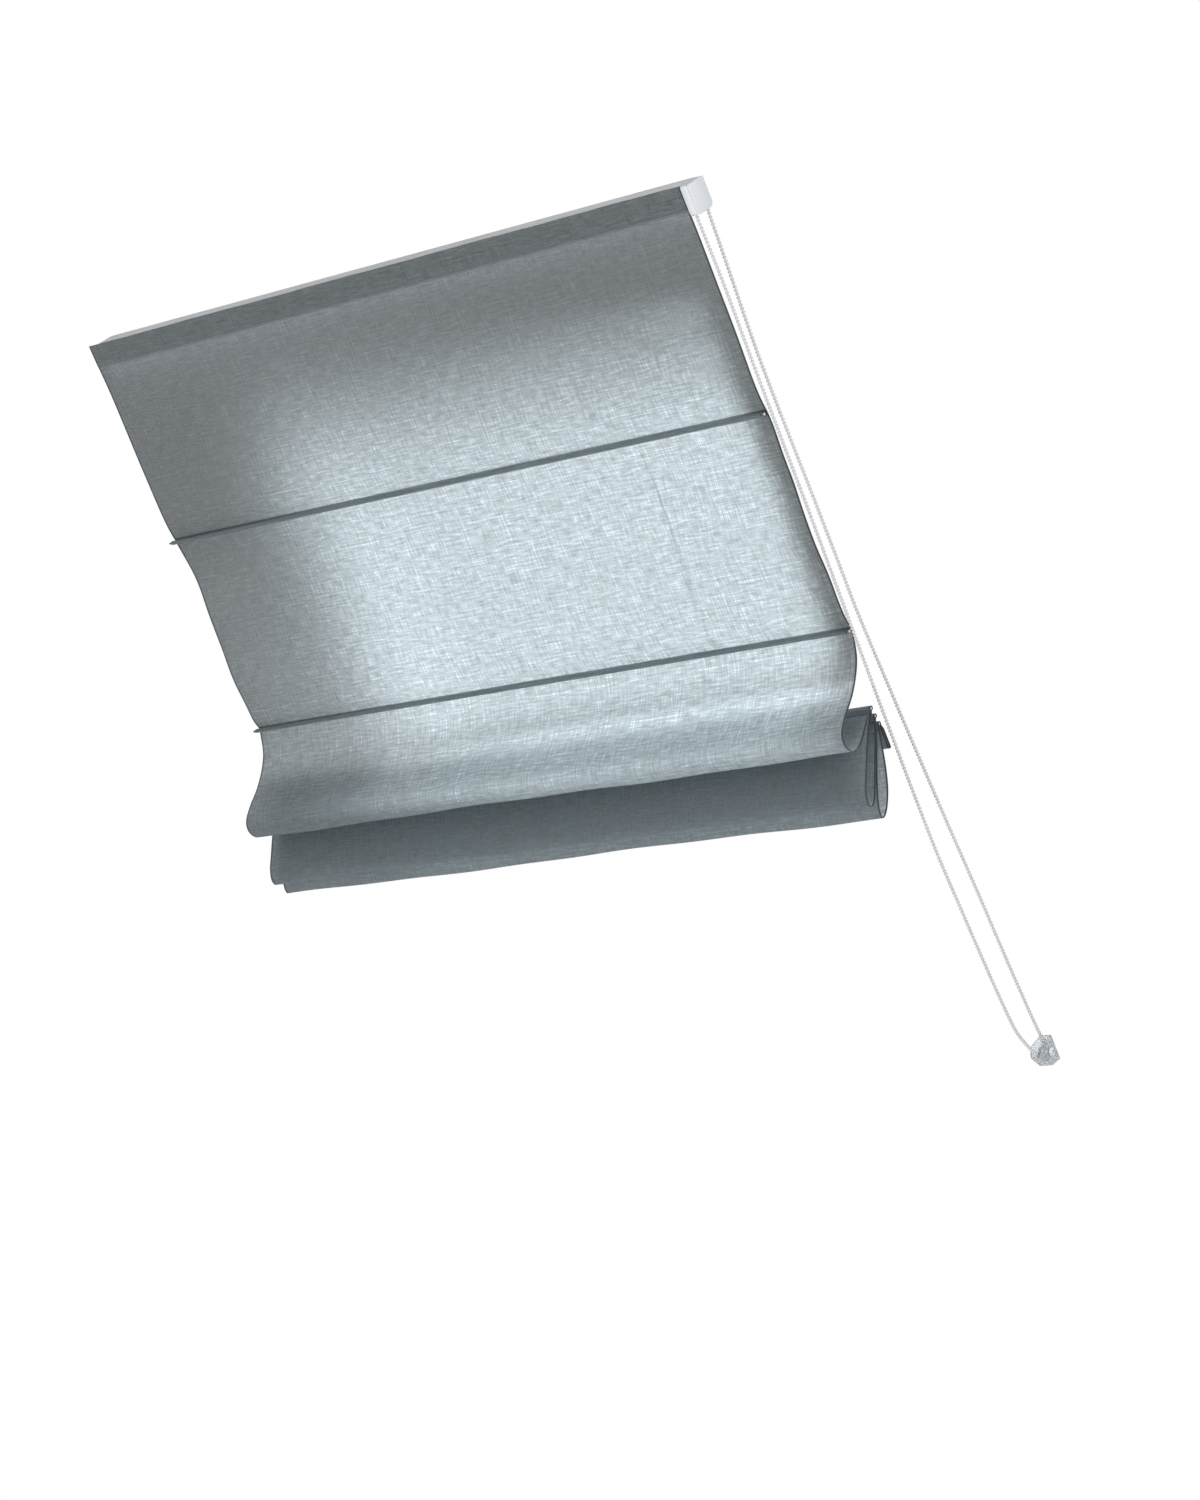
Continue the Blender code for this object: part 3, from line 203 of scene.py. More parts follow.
# Where the flat panels' edges curl: (side, middle and reach down the slope, how far out)
EDGE_CURLS = [(-1, 0.345, 0.055, -0.0030), (-1, 0.488, 0.050, 0.0024),
              (1, 0.335, 0.050, 0.0026), (1, 0.495, 0.045, -0.0022)]
CURL_START = 0.330  # the curls start this far from the middle, past the lift cords
DRAWN_IN = 0.0045  # how far the right edge draws in between the first two rods

# The top hem down the slope, its cloth folded at the top: its back and front, and the fold's centre line
HEM_TOP = -0.0010
HEM_BACK = [0.0290, *np.linspace(0.0255, 0.0002, 8)]
HEM_FRONT = np.linspace(0.0006, 0.0285, 10)
HEM_FOOT = (0.0300, 0.6)  # where the front starts to turn in, and the share of the turn left there
HEM_SEAM = 0.0278
HEM_STILL = 0.02  # the hem wavers above this line
TURN_SPACE = 0.0001  # half the space between its layers
# The hem flap: (below its top, half its thickness) down to the bar, its straight sides and its corners
FLAP_HEIGHT = 0.031
FLAP_HALF = 0.00215
FLAP_MOUTH = mm([(-0.4, 0.4), (1.2, 0.5), (2.4, 0.9), (4, 1.8), (5.2, 2.15)])
FLAP_SIDE = (0.0070, 0.0004)  # from its top to its straight side, and from there to the corner
FLAP_CORNER = 0.0010
FLAP_SEAM = (0.0012, 0.0007)  # below the flap's top, and out from its middle
FLAP_MAP_START = 1.60

# Chain strands as (distance down the slope, out), from the drive to the tensioner
INNER_STRAND = mm([(45, 9.5), (80, 12.3), (120, 15.5), (170, 20), (220, 23.6), (300, 26), (400, 27.4),
                   (480, 29.4), (550, 31.2), (640, 28.8), (740, 25.6), (840, 22), (940, 17.2), (1030, 14),
                   (1100, 10.6), (1140, 7.8)])
OUTER_STRAND = mm([(60, 34.2), (110, 34.2), (160, 36), (230, 39.5), (330, 43), (430, 46.8), (520, 51),
                   (600, 55), (690, 58.8), (780, 62.2), (860, 64), (930, 61.6), (1000, 59), (1060, 56),
                   (1113, 51.2), (1140.7, 41.5), (1157.5, 32.5)])

# The photograph's viewpoint
CAMERA_PLACE = (3.05737783, -3.22294898, -1.41188448)
CAMERA_TURN = (math.radians(100.351478), 0.0, math.radians(40.0530297))
CAMERA_LENS = 89.205
SENSOR = 36.0

# The studio: lamps in front, beside and behind, as name, place, width and power
LIT_SPOT = (0.05, 0.45, 0.04)
STUDIO_LIGHTS = [("front_light", (-2.2, -3.2, -1.2), 2.2, 42.0),
                 ("side_light", (3.4, -1.6, 0.2), 1.6, 66.0),
                 ("back_light", (0.1, 1.5, -0.9), 1.0, 2.0)]
# Lamps behind the cloth, further from it at the left so that their light fades there, and one behind the
# other: name, left and right ends as (x, out), top and bottom down the slope, its lean, power and spread
CLOTH_LIGHTS = [
    ("cloth_light_high", (-0.13, -0.300), (0.500, -0.038), 0.13, 0.66, 0.0, 0.455, 40.0),
    ("cloth_light_middle", (-0.13, -0.306), (0.500, -0.044), 0.19, 0.66, 0.0, 0.395, 40.0),
    ("cloth_light_low", (-0.13, -0.312), (0.500, -0.050), 0.25, 0.66, 0.0, 0.335, 40.0),
    ("loop_light_wide", (-0.27, 0.044), (0.50, 0.044), 0.630, 0.650, 0.05, 0.037, 90.0),
    ("loop_light_middle", (-0.16, 0.041), (0.50, 0.041), 0.630, 0.650, 0.05, 0.034, 90.0),
    ("loop_light_narrow", (-0.05, 0.038), (0.50, 0.038), 0.630, 0.650, 0.05, 0.029, 90.0),
    ("left_light_high", (-0.50, -0.300), (-0.14, -0.306), 0.30, 0.70, 0.0, 0.036, 40.0),
    ("left_light_low", (-0.50, -0.306), (-0.14, -0.312), 0.46, 0.70, 0.0, 0.034, 40.0),
    ("stack_light", (-0.25, -0.050), (0.47, -0.050), 0.78, 0.86, -0.10, 0.05, 40.0),
]
CLOTH_LIGHT_COLOUR = (0.93, 0.98, 1.0)
WORLD_LIGHT = 0.12
FLOOR_DOWN = -2.40
FLOOR_REACH = 8.0
FLOOR_LIGHT_ABOVE = 0.9
FLOOR_LIGHT_POWER = 480.0

# Finishes: the linen's threads, then the grain of hard surfaces
THREAD_PITCH = 0.0026
SLUB_SIZE = (0.022, 0.0030)  # length and width
WANDER_LENGTH = 0.0042  # a thread strays this often,
WANDER = 1.4  # by this many turns of the weave
CROSSING = 0.3  # how far a thread rises and dips at a crossing
SLUB_GAINS = (2.2, 3.0, -2.6)  # of the threads across and along, and the offset that evens them out
SLUB_FILLS = 0.30  # how far a slub closes the gaps beside it
GAP_RANGE = (0.40, 0.95)
# Painted shading of the weave: thread crowns painted lighter as if lit, and the roots between them darker
# as painted shade.
THREAD_PAINTED_SHADING = (0.35, 0.74)  # how much a thread's crown lightens it, and its tone at the root
SLUB_TONE = 0.34
SLUB_RELIEF = 0.5
WEAVE_DEPTH = 0.00025
WEAVE_STRENGTH = 0.8
SLUB_SHADE = (-0.42, 0.97)  # how much light a slub stops, and how much passes elsewhere
BRAID_PITCH = 0.0008
BRAID_STRANDS = 4
PILE_SCALE = 700.0
FINE_TONE = 0.04
SLOW_TONE = 0.06
SMUDGE_RANGE = (0.45, 0.75)


def place(points):
    """World places of (x, down the slope, out) points."""
    points = np.asarray(points, dtype=float)
    y = points[..., 1] - RAIL_MIDDLE
    z = -points[..., 2]
    rise, run = math.sin(SLOPE), math.cos(SLOPE)
    return np.stack([points[..., 0], y * run + z * rise, z * run - y * rise], axis=-1)


def place_at(spot, x=0.0):
    """The world place of a (down the slope, out) spot, as a tuple."""
    return tuple(float(value) for value in place((x, *spot)))


def hanging(forward, below):
    """Turn level and plumb distances from the second rod's line into (down the slope, out)."""
    along = below * math.sin(SLOPE) - forward * math.cos(SLOPE)
    out = below * math.cos(SLOPE) + forward * math.sin(SLOPE)
    return SECOND_ROD + along, STACK_LINE_OUT + out


ROD_PLACES = [(PANEL, ROD_OUT), (SECOND_ROD, ROD_OUT)] + [hanging(*spot) for spot in STACK]


def smooth_step(share):
    share = np.clip(share, 0.0, 1.0)
    return share * share * (3 - 2 * share)


def smooth_curve(points, spacing):
    """Points about this far apart on a smooth curve through the points given."""
    points = np.asarray(points, dtype=float)
    padded = np.vstack([2 * points[0] - points[1], points, 2 * points[-1] - points[-2]])
    curve = []
    for before, here, there, after in zip(padded, padded[1:], padded[2:], padded[3:]):
        steps = max(1, round(float(np.linalg.norm(there - here)) / spacing))
        t = (np.arange(steps) / steps)[:, None]
        curve.append((2 * t**3 - 3 * t**2 + 1) * here + (t**3 - 2 * t**2 + t) * (there - before) / 2
                     + (3 * t**2 - 2 * t**3) * there + (t**3 - t**2) * (after - here) / 2)
    return np.vstack(curve + [points[-1:]])


def directions(line):
    """The unit direction of a line at each of its points."""
    ends = np.vstack([2 * line[0] - line[1], line, 2 * line[-1] - line[-2]])
    ways = ends[2:] - ends[:-2]
    return ways / np.linalg.norm(ways, axis=1)[:, None]


def distances(line):
    """How far along a line each of its points is."""
    return np.concatenate([[0.0], np.cumsum(np.linalg.norm(np.diff(line, axis=0), axis=1))])


def linked(name, data):
    """A new object of this data in the scene."""
    thing = bpy.data.objects.new(name, data)
    bpy.context.scene.collection.objects.link(thing)
    return thing


def belongs(piece, body, node=None):
    """Give a piece the body it moves with, and hide the CAD node that it stands for."""
    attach(piece, body)
    if node:
        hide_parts(node)


# Camera, lights and floor


def make_camera():
    data = bpy.data.cameras.new("camera")
    data.sensor_width = SENSOR
    data.lens = CAMERA_LENS
    data.clip_end = 100.0
    camera = linked("camera", data)
    camera.location = CAMERA_PLACE
    camera.rotation_euler = CAMERA_TURN
    bpy.context.scene.camera = camera


def make_lamp(name, location, target, size, power, colour=(1.0, 1.0, 1.0), spread=180.0):
    data = bpy.data.lights.new(name, "AREA")
    data.shape = "RECTANGLE"
    data.size, data.size_y = size
    data.energy = power
    data.color = colour
    data.spread = math.radians(spread)
    lamp = linked(name, data)
    lamp.location = location
    way = (Vector(target) - Vector(location)).normalized()
    across = Vector((1.0, 0.0, 0.0))
    across = (across - way * across.dot(way)).normalized()
    lamp.rotation_euler = Matrix((across, across.cross(way), -way)).transposed().to_euler()
    lamp.visible_camera = False
    lamp.visible_glossy = False


def make_lights():
    """Soft studio light round the blind and on the floor, and light that shines through the cloth."""
    for name, spot, width, power in STUDIO_LIGHTS:
        make_lamp(name, spot, tuple(place(LIT_SPOT)), (width, width), power)
    above = FLOOR_DOWN + FLOOR_LIGHT_ABOVE
    size = (2 * FLOOR_REACH, 2 * FLOOR_REACH)
    make_lamp("floor_light", (0.0, 0.0, above), (0.0, 0.0, above - 1.0), size, FLOOR_LIGHT_POWER)
    for name, left, right, top, bottom, lean, power, spread in CLOTH_LIGHTS:
        across, out = right[0] - left[0], right[1] - left[1]
        spot = np.array((left[0] + across / 2, (top + bottom) / 2, left[1] + out / 2))
        ahead = spot + np.array((-out, lean, across))
        size = (math.hypot(across, out), bottom - top)
        make_lamp(name, tuple(place(spot)), tuple(place(ahead)), size, power, CLOTH_LIGHT_COLOUR, spread)


def make_world():
    """White to the camera, to gloss and to glass, and a plain grey light for everything else."""
    world = bpy.data.worlds.new("studio")
    bpy.context.scene.world = world
    world.use_nodes = True
    tree = world.node_tree
    tree.nodes.clear()
    ray = add(tree, "LightPath").outputs
    through = calc(tree, "MULTIPLY", ray["Is Transmission Ray"],
                   calc(tree, "SUBTRACT", 1.0, ray["Is Diffuse Ray"]))
    seen = calc(tree, "MAXIMUM", ray["Is Camera Ray"], ray["Is Glossy Ray"])
    shown = calc(tree, "MAXIMUM", seen, through)
    strength = scaled(tree, shown, 1.0 - WORLD_LIGHT, WORLD_LIGHT)
    background = add(tree, "Background", {"Color": (1.0, 1.0, 1.0, 1.0), "Strength": strength})
    add(tree, "OutputWorld", {"Surface": background.outputs[0]})


def make_floor():
    """A pale floor that a camera below it sees through."""
    mesh = bpy.data.meshes.new("floor")
    reach = FLOOR_REACH
    corners = [(-reach, -reach), (reach, -reach), (reach, reach), (-reach, reach)]
    mesh.from_pydata([(x, y, FLOOR_DOWN) for x, y in corners], [], [(0, 1, 2, 3)])
    look, tree, surface = new_look("pale_floor", (0.86, 0.86, 0.86), 0.9)
    sides = add(tree, "NewGeometry")
    clear = add(tree, "BsdfTransparent")
    finish_look(tree, add(tree, "MixShader", {
        0: sides.outputs["Backfacing"], 1: surface.outputs[0], 2: clear.outputs[0]}))
    mesh.materials.append(look)
    linked("floor", mesh)


# Node trees in few words


def join(tree, node, values):
    """Set or link a node's inputs."""
    for key, value in values.items():
        if isinstance(value, bpy.types.NodeSocket):
            tree.links.new(value, node.inputs[key])
        else:
            node.inputs[key].default_value = value


def add(tree, kind, values=None, family="ShaderNode", **settings):
    """A new node with its settings made, and its inputs set or linked."""
    node = tree.nodes.new(family + kind)
    for name, value in settings.items():
        setattr(node, name, value)
    join(tree, node, values or {})
    return node


def first(tree, kind, values=None, **settings):
    """What a new node puts out first."""
    return add(tree, kind, values, **settings).outputs[0]


def calc(tree, operation, *values, clamp=False):
    """What one maths node puts out."""
    return first(tree, "Math", dict(enumerate(values)), operation=operation, use_clamp=clamp)


def scaled(tree, value, by, plus):
    """A value times by, plus plus."""
    return calc(tree, "MULTIPLY_ADD", value, by, plus)


def spread_out(tree, value, low, high):
    """0 up to the low value and 1 from the high one."""
    return first(tree, "MapRange", {"Value": value, "From Min": low, "From Max": high})


def noise(tree, spot, detail, **values):
    """Smooth noise at a spot, whose swells are one unit wide unless its scale is given."""
    return first(tree, "TexNoise", {"Vector": spot, "Scale": 1.0, "Detail": detail} | values)


def bump(tree, height, depth, strength=1.0):
    """Bumps of this depth in metres from a height that runs from 0 to 1."""
    return first(tree, "Bump", {"Strength": strength, "Distance": depth, "Height": height})


def tinted(tree, colour, tone):
    """A colour made lighter or darker by a tone about 1."""
    return first(tree, "VectorMath", {0: colour, 3: tone}, operation="SCALE")


def new_group(name, inputs, outputs, kind="ShaderNodeTree"):
    """A node group with named inputs and outputs, what it is given, and its output node."""
    tree = bpy.data.node_groups.new(name, kind)
    for label, socket, value in inputs:
        made = tree.interface.new_socket(label, in_out="INPUT", socket_type=socket)
        if value is not None:
            made.default_value = value
    for label, socket in outputs:
        tree.interface.new_socket(label, in_out="OUTPUT", socket_type=socket)
    return tree, tree.nodes.new("NodeGroupInput").outputs, tree.nodes.new("NodeGroupOutput")


def new_look(name, colour, roughness, **shader_values):
    """A material with one Principled surface, not yet joined to its output."""
    look = bpy.data.materials.new(name)
    look.use_nodes = True
    tree = look.node_tree
    tree.nodes.clear()
    surface = add(tree, "BsdfPrincipled", {"Base Color": (*colour, 1.0), "Roughness": roughness})
    join(tree, surface, {key.replace("_", " "): value for key, value in shader_values.items()})
    look.diffuse_color = (*colour, 1.0)
    return look, tree, surface


def finish_look(tree, surface, values=None):
    """Join the surface's last inputs, and the surface to its output."""
    join(tree, surface, values or {})
    add(tree, "OutputMaterial", {"Surface": surface.outputs[0]})


FLOAT = "NodeSocketFloat"
VECTOR = "NodeSocketVector"


def make_weave_group():
    """Linen: two sets of uneven threads, slubs along both, and the gaps between them."""
    tree, given, result = new_group(
        "linen_weave",
        [("Map", VECTOR, None), ("Pitch", FLOAT, THREAD_PITCH), ("Slub Length", FLOAT, SLUB_SIZE[0]),
         ("Slub Width", FLOAT, SLUB_SIZE[1])],
        [("Height", FLOAT), ("Slub", FLOAT), ("Gap", FLOAT)],
    )
    split = add(tree, "SeparateXYZ", {0: given["Map"]}).outputs
    halves, threads = [], []
    for axis in ("X", "Y"):
        wander = first(tree, "TexNoise", {
            "W": calc(tree, "DIVIDE", split[axis], WANDER_LENGTH), "Scale": 1.0, "Detail": 1.0},
            noise_dimensions="1D")
        turns = scaled(tree, wander, WANDER, calc(tree, "DIVIDE", split[axis], given["Pitch"]))
        halves.append(calc(tree, "COSINE", calc(tree, "MULTIPLY", turns, math.pi)))
        threads.append(calc(tree, "MULTIPLY", halves[-1], halves[-1]))
    crossing = calc(tree, "MULTIPLY", *halves)
    over = scaled(tree, crossing, CROSSING, 1.0 - CROSSING)
    under = scaled(tree, crossing, -CROSSING, 1.0 - CROSSING)
    thread = calc(tree, "MAXIMUM", calc(tree, "MULTIPLY", threads[0], over),
                  calc(tree, "MULTIPLY", threads[1], under))
    slubs = []
    for across, along in (("Slub Width", "Slub Length"), ("Slub Length", "Slub Width")):
        stretched = first(tree, "CombineXYZ", {
            "X": calc(tree, "DIVIDE", split["X"], given[across]),
            "Y": calc(tree, "DIVIDE", split["Y"], given[along]), "Z": 3.0 + len(slubs)})
        slubs.append(noise(tree, stretched, 2.0, Roughness=0.6))
    slub = scaled(tree, slubs[0], SLUB_GAINS[0], SLUB_GAINS[2])
    slub = scaled(tree, slubs[1], SLUB_GAINS[1], slub)
    hole = calc(tree, "MULTIPLY", *[calc(tree, "SUBTRACT", 1.0, layer) for layer in threads])
    hole = scaled(tree, slub, -SLUB_FILLS, hole)
    join(tree, result, {"Height": thread, "Slub": slub, "Gap": spread_out(tree, hole, *GAP_RANGE)})
    return tree


def make_grain_group():
    """The fine unevenness of a moulded, coated or drawn surface, with a slow drift of tone."""
    tree, given, result = new_group(
        "fine_grain",
        [("Vector", VECTOR, None), ("Grain Size", FLOAT, 0.0008), ("Drift Size", FLOAT, 0.05),
         ("Stretch", VECTOR, (1.0, 1.0, 1.0))],
        [("Height", FLOAT), ("Tone", FLOAT), ("Smudge", FLOAT)],
    )
    drawn = first(tree, "VectorMath", {0: given["Vector"], 1: given["Stretch"]}, operation="MULTIPLY")
    fine, slow = [
        noise(tree, spot, detail, Scale=calc(tree, "DIVIDE", 1.0, given[size]))
        for spot, size, detail in ((drawn, "Grain Size", 2.0), (given["Vector"], "Drift Size", 3.0))]
    tone = calc(tree, "ADD", scaled(tree, fine, FINE_TONE, 1.0 - FINE_TONE / 2),
                scaled(tree, slow, SLOW_TONE, -SLOW_TONE / 2))
    join(tree, result, {"Height": fine, "Tone": tone, "Smudge": spread_out(tree, slow, *SMUDGE_RANGE)})
    return tree


def cloth_look(name, face, through, share, open_share, weave_group, seen_through=0.0):
    """Linen that scatters light back and lets some through, and more where its threads lie apart."""
    look, tree, surface = new_look(name, face, 0.88, Sheen_Weight=0.08, Sheen_Roughness=0.5)
    spot = first(tree, "UVMap", uv_map="own_map")
    weave = add(tree, "Group", {"Map": spot}, node_tree=weave_group).outputs
    # The thread height paints the weave's hollows darker and its crowns lighter, as painted shade and
    # painted light; the slubs' tone is the linen's own.
    tone = scaled(tree, weave["Slub"], SLUB_TONE, scaled(tree, weave["Height"], *THREAD_PAINTED_SHADING))
    height = scaled(tree, weave["Slub"], SLUB_RELIEF, weave["Height"])
    bumps = bump(tree, height, WEAVE_DEPTH, WEAVE_STRENGTH)
    join(tree, surface, {"Base Color": tinted(tree, face, tone), "Normal": bumps})
    passing = scaled(tree, weave["Slub"], *SLUB_SHADE)
    glow = add(tree, "BsdfTranslucent", {"Color": tinted(tree, through, passing), "Normal": bumps})
    passed = scaled(tree, weave["Gap"], open_share, share)
    mixed = add(tree, "MixShader", {0: passed, 1: surface.outputs[0], 2: glow.outputs[0]})
    if seen_through:
        clear = add(tree, "BsdfTransparent")
        opened = scaled(tree, weave["Gap"], seen_through, seen_through)
        mixed = add(tree, "MixShader", {0: opened, 1: mixed.outputs[0], 2: clear.outputs[0]})
    finish_look(tree, mixed)
    return look


def hard_look(name, colour, roughness, grain_group, depth=0.00002, grain=0.0008, drift=0.05,
              stretch=(1.0, 1.0, 1.0), wear=0.12, **shader_values):
    """A moulded, coated or metal surface with its grain, a drift of tone and faint handling marks."""
    look, tree, surface = new_look(name, colour, roughness, **shader_values)
    spot = add(tree, "TexCoord").outputs["Object"]
    sizes = {"Grain Size": grain, "Drift Size": drift, "Stretch": stretch}
    marks = add(tree, "Group", {"Vector": spot} | sizes, node_tree=grain_group).outputs
    finish_look(tree, surface, {"Base Color": tinted(tree, colour, marks["Tone"]),
                                "Roughness": scaled(tree, marks["Smudge"], wear, roughness),
                                "Normal": bump(tree, marks["Height"], depth)})
    return look


def braid_look(name, colour):
    """A braided cord: two crossing sets of strands on the cord's own map, painted darker in the grooves
    between them as shade.
    """
    look, tree, surface = new_look(name, colour, 0.85)
    split = add(tree, "SeparateXYZ", {0: first(tree, "UVMap", uv_map="own_map")}).outputs
    around = calc(tree, "MULTIPLY", split["X"], BRAID_STRANDS * math.tau)
    along = calc(tree, "MULTIPLY", split["Y"], math.tau / BRAID_PITCH)
    strands = [calc(tree, "SINE", scaled(tree, around, way, along)) for way in (1.0, -1.0)]
    height = scaled(tree, calc(tree, "MAXIMUM", *strands), 0.5, 0.5)
    # The strands' tone follows their height: the grooves are painted darker as painted shade.
    finish_look(tree, surface, {"Base Color": tinted(tree, colour, scaled(tree, height, 0.2, 0.85)),
                                "Normal": bump(tree, height, 0.0001)})
    return look


def pile_look(name, colour):
    """The hook side of a fastening tape: rows of tiny stiff loops, painted darker between them as shade.
    """
    look, tree, surface = new_look(name, colour, 0.7)
    spot = add(tree, "TexCoord").outputs["Object"]
    dots = add(tree, "TexVoronoi", {"Vector": spot, "Scale": PILE_SCALE, "Randomness": 0.35})
    height = calc(tree, "SUBTRACT", 1.0, dots.outputs["Distance"], clamp=True)
    # The tone follows the loops' height, so the tape is painted darker between them as painted shade.
    finish_look(tree, surface, {"Base Color": tinted(tree, colour, scaled(tree, height, 0.4, 0.62)),
                                "Normal": bump(tree, height, 0.0005)})
    return look


def make_looks():
    weave, grain = make_weave_group(), make_grain_group()
    cloths = {  # name, colour of the face and of light through it, share let through, more in the gaps
        "cloth": ("slate_linen", (0.155, 0.165, 0.170), (0.83, 0.93, 0.97), 0.48, 0.36),
        # The edge look is painted shade: a darker face along the turned-back side hems, whose doubled
        # cloth also lets less light through.
        "edge": ("slate_linen_edge_painted_shade", (0.075, 0.090, 0.095), (0.30, 0.36, 0.38), 0.12, 0.0),
        "hem": ("slate_linen_hem", (0.188, 0.207, 0.216), (0.78, 0.92, 0.97), 0.20, 0.0),
        "pocket": ("slate_linen_doubled", (0.185, 0.208, 0.220), (0.70, 0.80, 0.84), 0.34, 0.1),
        # The seam look is painted shade: a darker face on the cloth beside each seam, where the doubled
        # allowance also lets less light through.
        "seam": ("slate_linen_seam_painted_shade", (0.095, 0.110, 0.118), (0.50, 0.58, 0.62), 0.20, 0.0),
    }
    drawn = (0.02, 1.0, 1.0)
    hards = {
        "rail": ("rail_powder_coat", (0.86, 0.87, 0.90), 0.38, dict(depth=0.00004, grain=0.0012)),
        "plastic": ("white_moulding", (0.84, 0.87, 0.91), 0.36, dict(grain=0.0006)),
        "rod": ("white_rod_sleeve", (0.84, 0.84, 0.84), 0.42, dict(stretch=(0.05, 1.0, 1.0))),
        "beads": ("white_beads", (0.72, 0.72, 0.74), 0.28, dict(grain=0.002, drift=0.3, Coat_Weight=0.2)),
        "clear": ("clear_moulding", (0.90, 0.92, 0.94), 0.10,
                  dict(grain=0.003, wear=0.08, Transmission_Weight=0.85, IOR=1.46)),
        "smoke": ("tensioner_moulding", (0.74, 0.77, 0.79), 0.20,
                  dict(depth=0.000003, grain=0.004, wear=0.05, Transmission_Weight=0.62, IOR=1.20)),
        "steel": ("zinc_steel", (0.66, 0.67, 0.68), 0.36, dict(grain=0.0005, wear=0.2, Metallic=1.0)),
        "shaft": ("drawn_shaft", (0.68, 0.69, 0.70), 0.30, dict(stretch=drawn, Metallic=1.0)),
        "aluminium": ("mill_aluminium", (0.76, 0.77, 0.78), 0.42,
                      dict(grain=0.0006, stretch=drawn, Metallic=1.0)),
        "chrome": ("plated_screw", (0.80, 0.80, 0.82), 0.10,
                   dict(depth=0.00001, wear=0.08, Metallic=1.0)),
    }
    looks = {key: cloth_look(*values, weave, 0.016 if key == "cloth" else 0.0)
             for key, values in cloths.items()}
    looks |= {key: hard_look(*values, grain, **more) for key, (*values, more) in hards.items()}
    looks["thread"] = braid_look("seam_thread", (0.13, 0.15, 0.155))
    looks["cord"] = braid_look("lift_cord_braid", (0.82, 0.82, 0.80))
    looks["tape"] = pile_look("hook_tape_pile", (0.80, 0.80, 0.80))
    return looks


# Meshes


def add_piece(name, vertices, faces, look_names, own_map=None, face_looks=None, sharp=None):
    """An object from world places and faces, smooth shaded, with its own map if one is given."""
    mesh = bpy.data.meshes.new(name)
    mesh.from_pydata(np.asarray(vertices).reshape(-1, 3).tolist(), [], faces)
    for look in look_names:
        mesh.materials.append(looks[look])
    if own_map is not None:
        layer = mesh.uv_layers.new(name="own_map")
        corners = np.zeros(len(mesh.loops), dtype=np.int32)
        mesh.loops.foreach_get("vertex_index", corners)
        layer.data.foreach_set("uv", own_map.reshape(-1, 2)[corners].astype(np.float32).ravel())
    if face_looks is not None:
        mesh.polygons.foreach_set("material_index", face_looks.astype(np.int32).ravel())
    mesh.shade_smooth()
    if sharp is not None:
        mesh.set_sharp_from_angle(angle=math.radians(sharp))
    mesh.update()
    return linked(name, mesh)


def grid_faces(rows, columns, closed=False):
    """Quads over a grid of points stored row by row."""
    faces = []
    for row in range(rows - 1):
        for column in range(columns if closed else columns - 1):
            here = row * columns + column
            beside = row * columns + (column + 1) % columns
            faces.append((here, here + columns, beside + columns, beside))
    return faces


def mended(mesh, onto=None, merge=None, flat=None, outwards=True):
    """Merge a mesh's doubles, join its flat faces and turn its faces outwards, onto itself or another."""
    body = bmesh.new()
    body.from_mesh(mesh)
    if merge:
        bmesh.ops.remove_doubles(body, verts=body.verts, dist=merge)
    if flat:
        bmesh.ops.dissolve_limit(body, angle_limit=flat, verts=body.verts, edges=body.edges)
    if outwards:
        bmesh.ops.recalc_face_normals(body, faces=body.faces)
    body.to_mesh(onto or mesh)
    body.free()


def add_cord(name, points, sides=8):
    """A lift cord through world points, with a map that runs round it and along it."""
    points = np.asarray(points, dtype=float)
    ways = directions(points)
    side = np.cross(ways[0], ASKEW)
    angles = np.linspace(0.0, math.tau, sides + 1)[:, None]
    rows = []
    for point, way in zip(points, ways):
        side = side - way * side.dot(way)
        side /= np.linalg.norm(side)
        rows.append(point + CORD_RADIUS * (np.cos(angles) * side + np.sin(angles) * np.cross(way, side)))
    columns = sides + 1
    around = np.tile(np.linspace(0.0, 1.0, columns), len(points))
    own_map = np.stack([around, np.repeat(distances(points), columns)], axis=1)
    faces = grid_faces(len(points), columns)
    last = (len(points) - 1) * columns
    faces += [tuple(range(sides)), tuple(last + step for step in reversed(range(sides)))]
    piece = add_piece(name, np.vstack(rows), faces, ["cord"], own_map, sharp=60)
    mended(piece.data)
    return piece


def rounded(corners, steps):
    """An outline from (a, b, radius) corners, each rounded by an arc of that radius."""
    outline = []
    for index, (a, b, radius) in enumerate(corners):
        here = Vector((a, b))
        if radius == 0:
            outline.append((a, b))
            continue
        before = (Vector(corners[index - 1][:2]) - here).normalized()
        after = (Vector(corners[(index + 1) % len(corners)][:2]) - here).normalized()
        half = before.angle(after) / 2
        middle = here + (before + after).normalized() * radius / math.sin(half)
        start = here + before * radius / math.tan(half) - middle
        end = here + after * radius / math.tan(half) - middle
        for step in range(steps + 1):
            outline.append(tuple(middle + start.slerp(end, step / steps).normalized() * radius))
    return outline


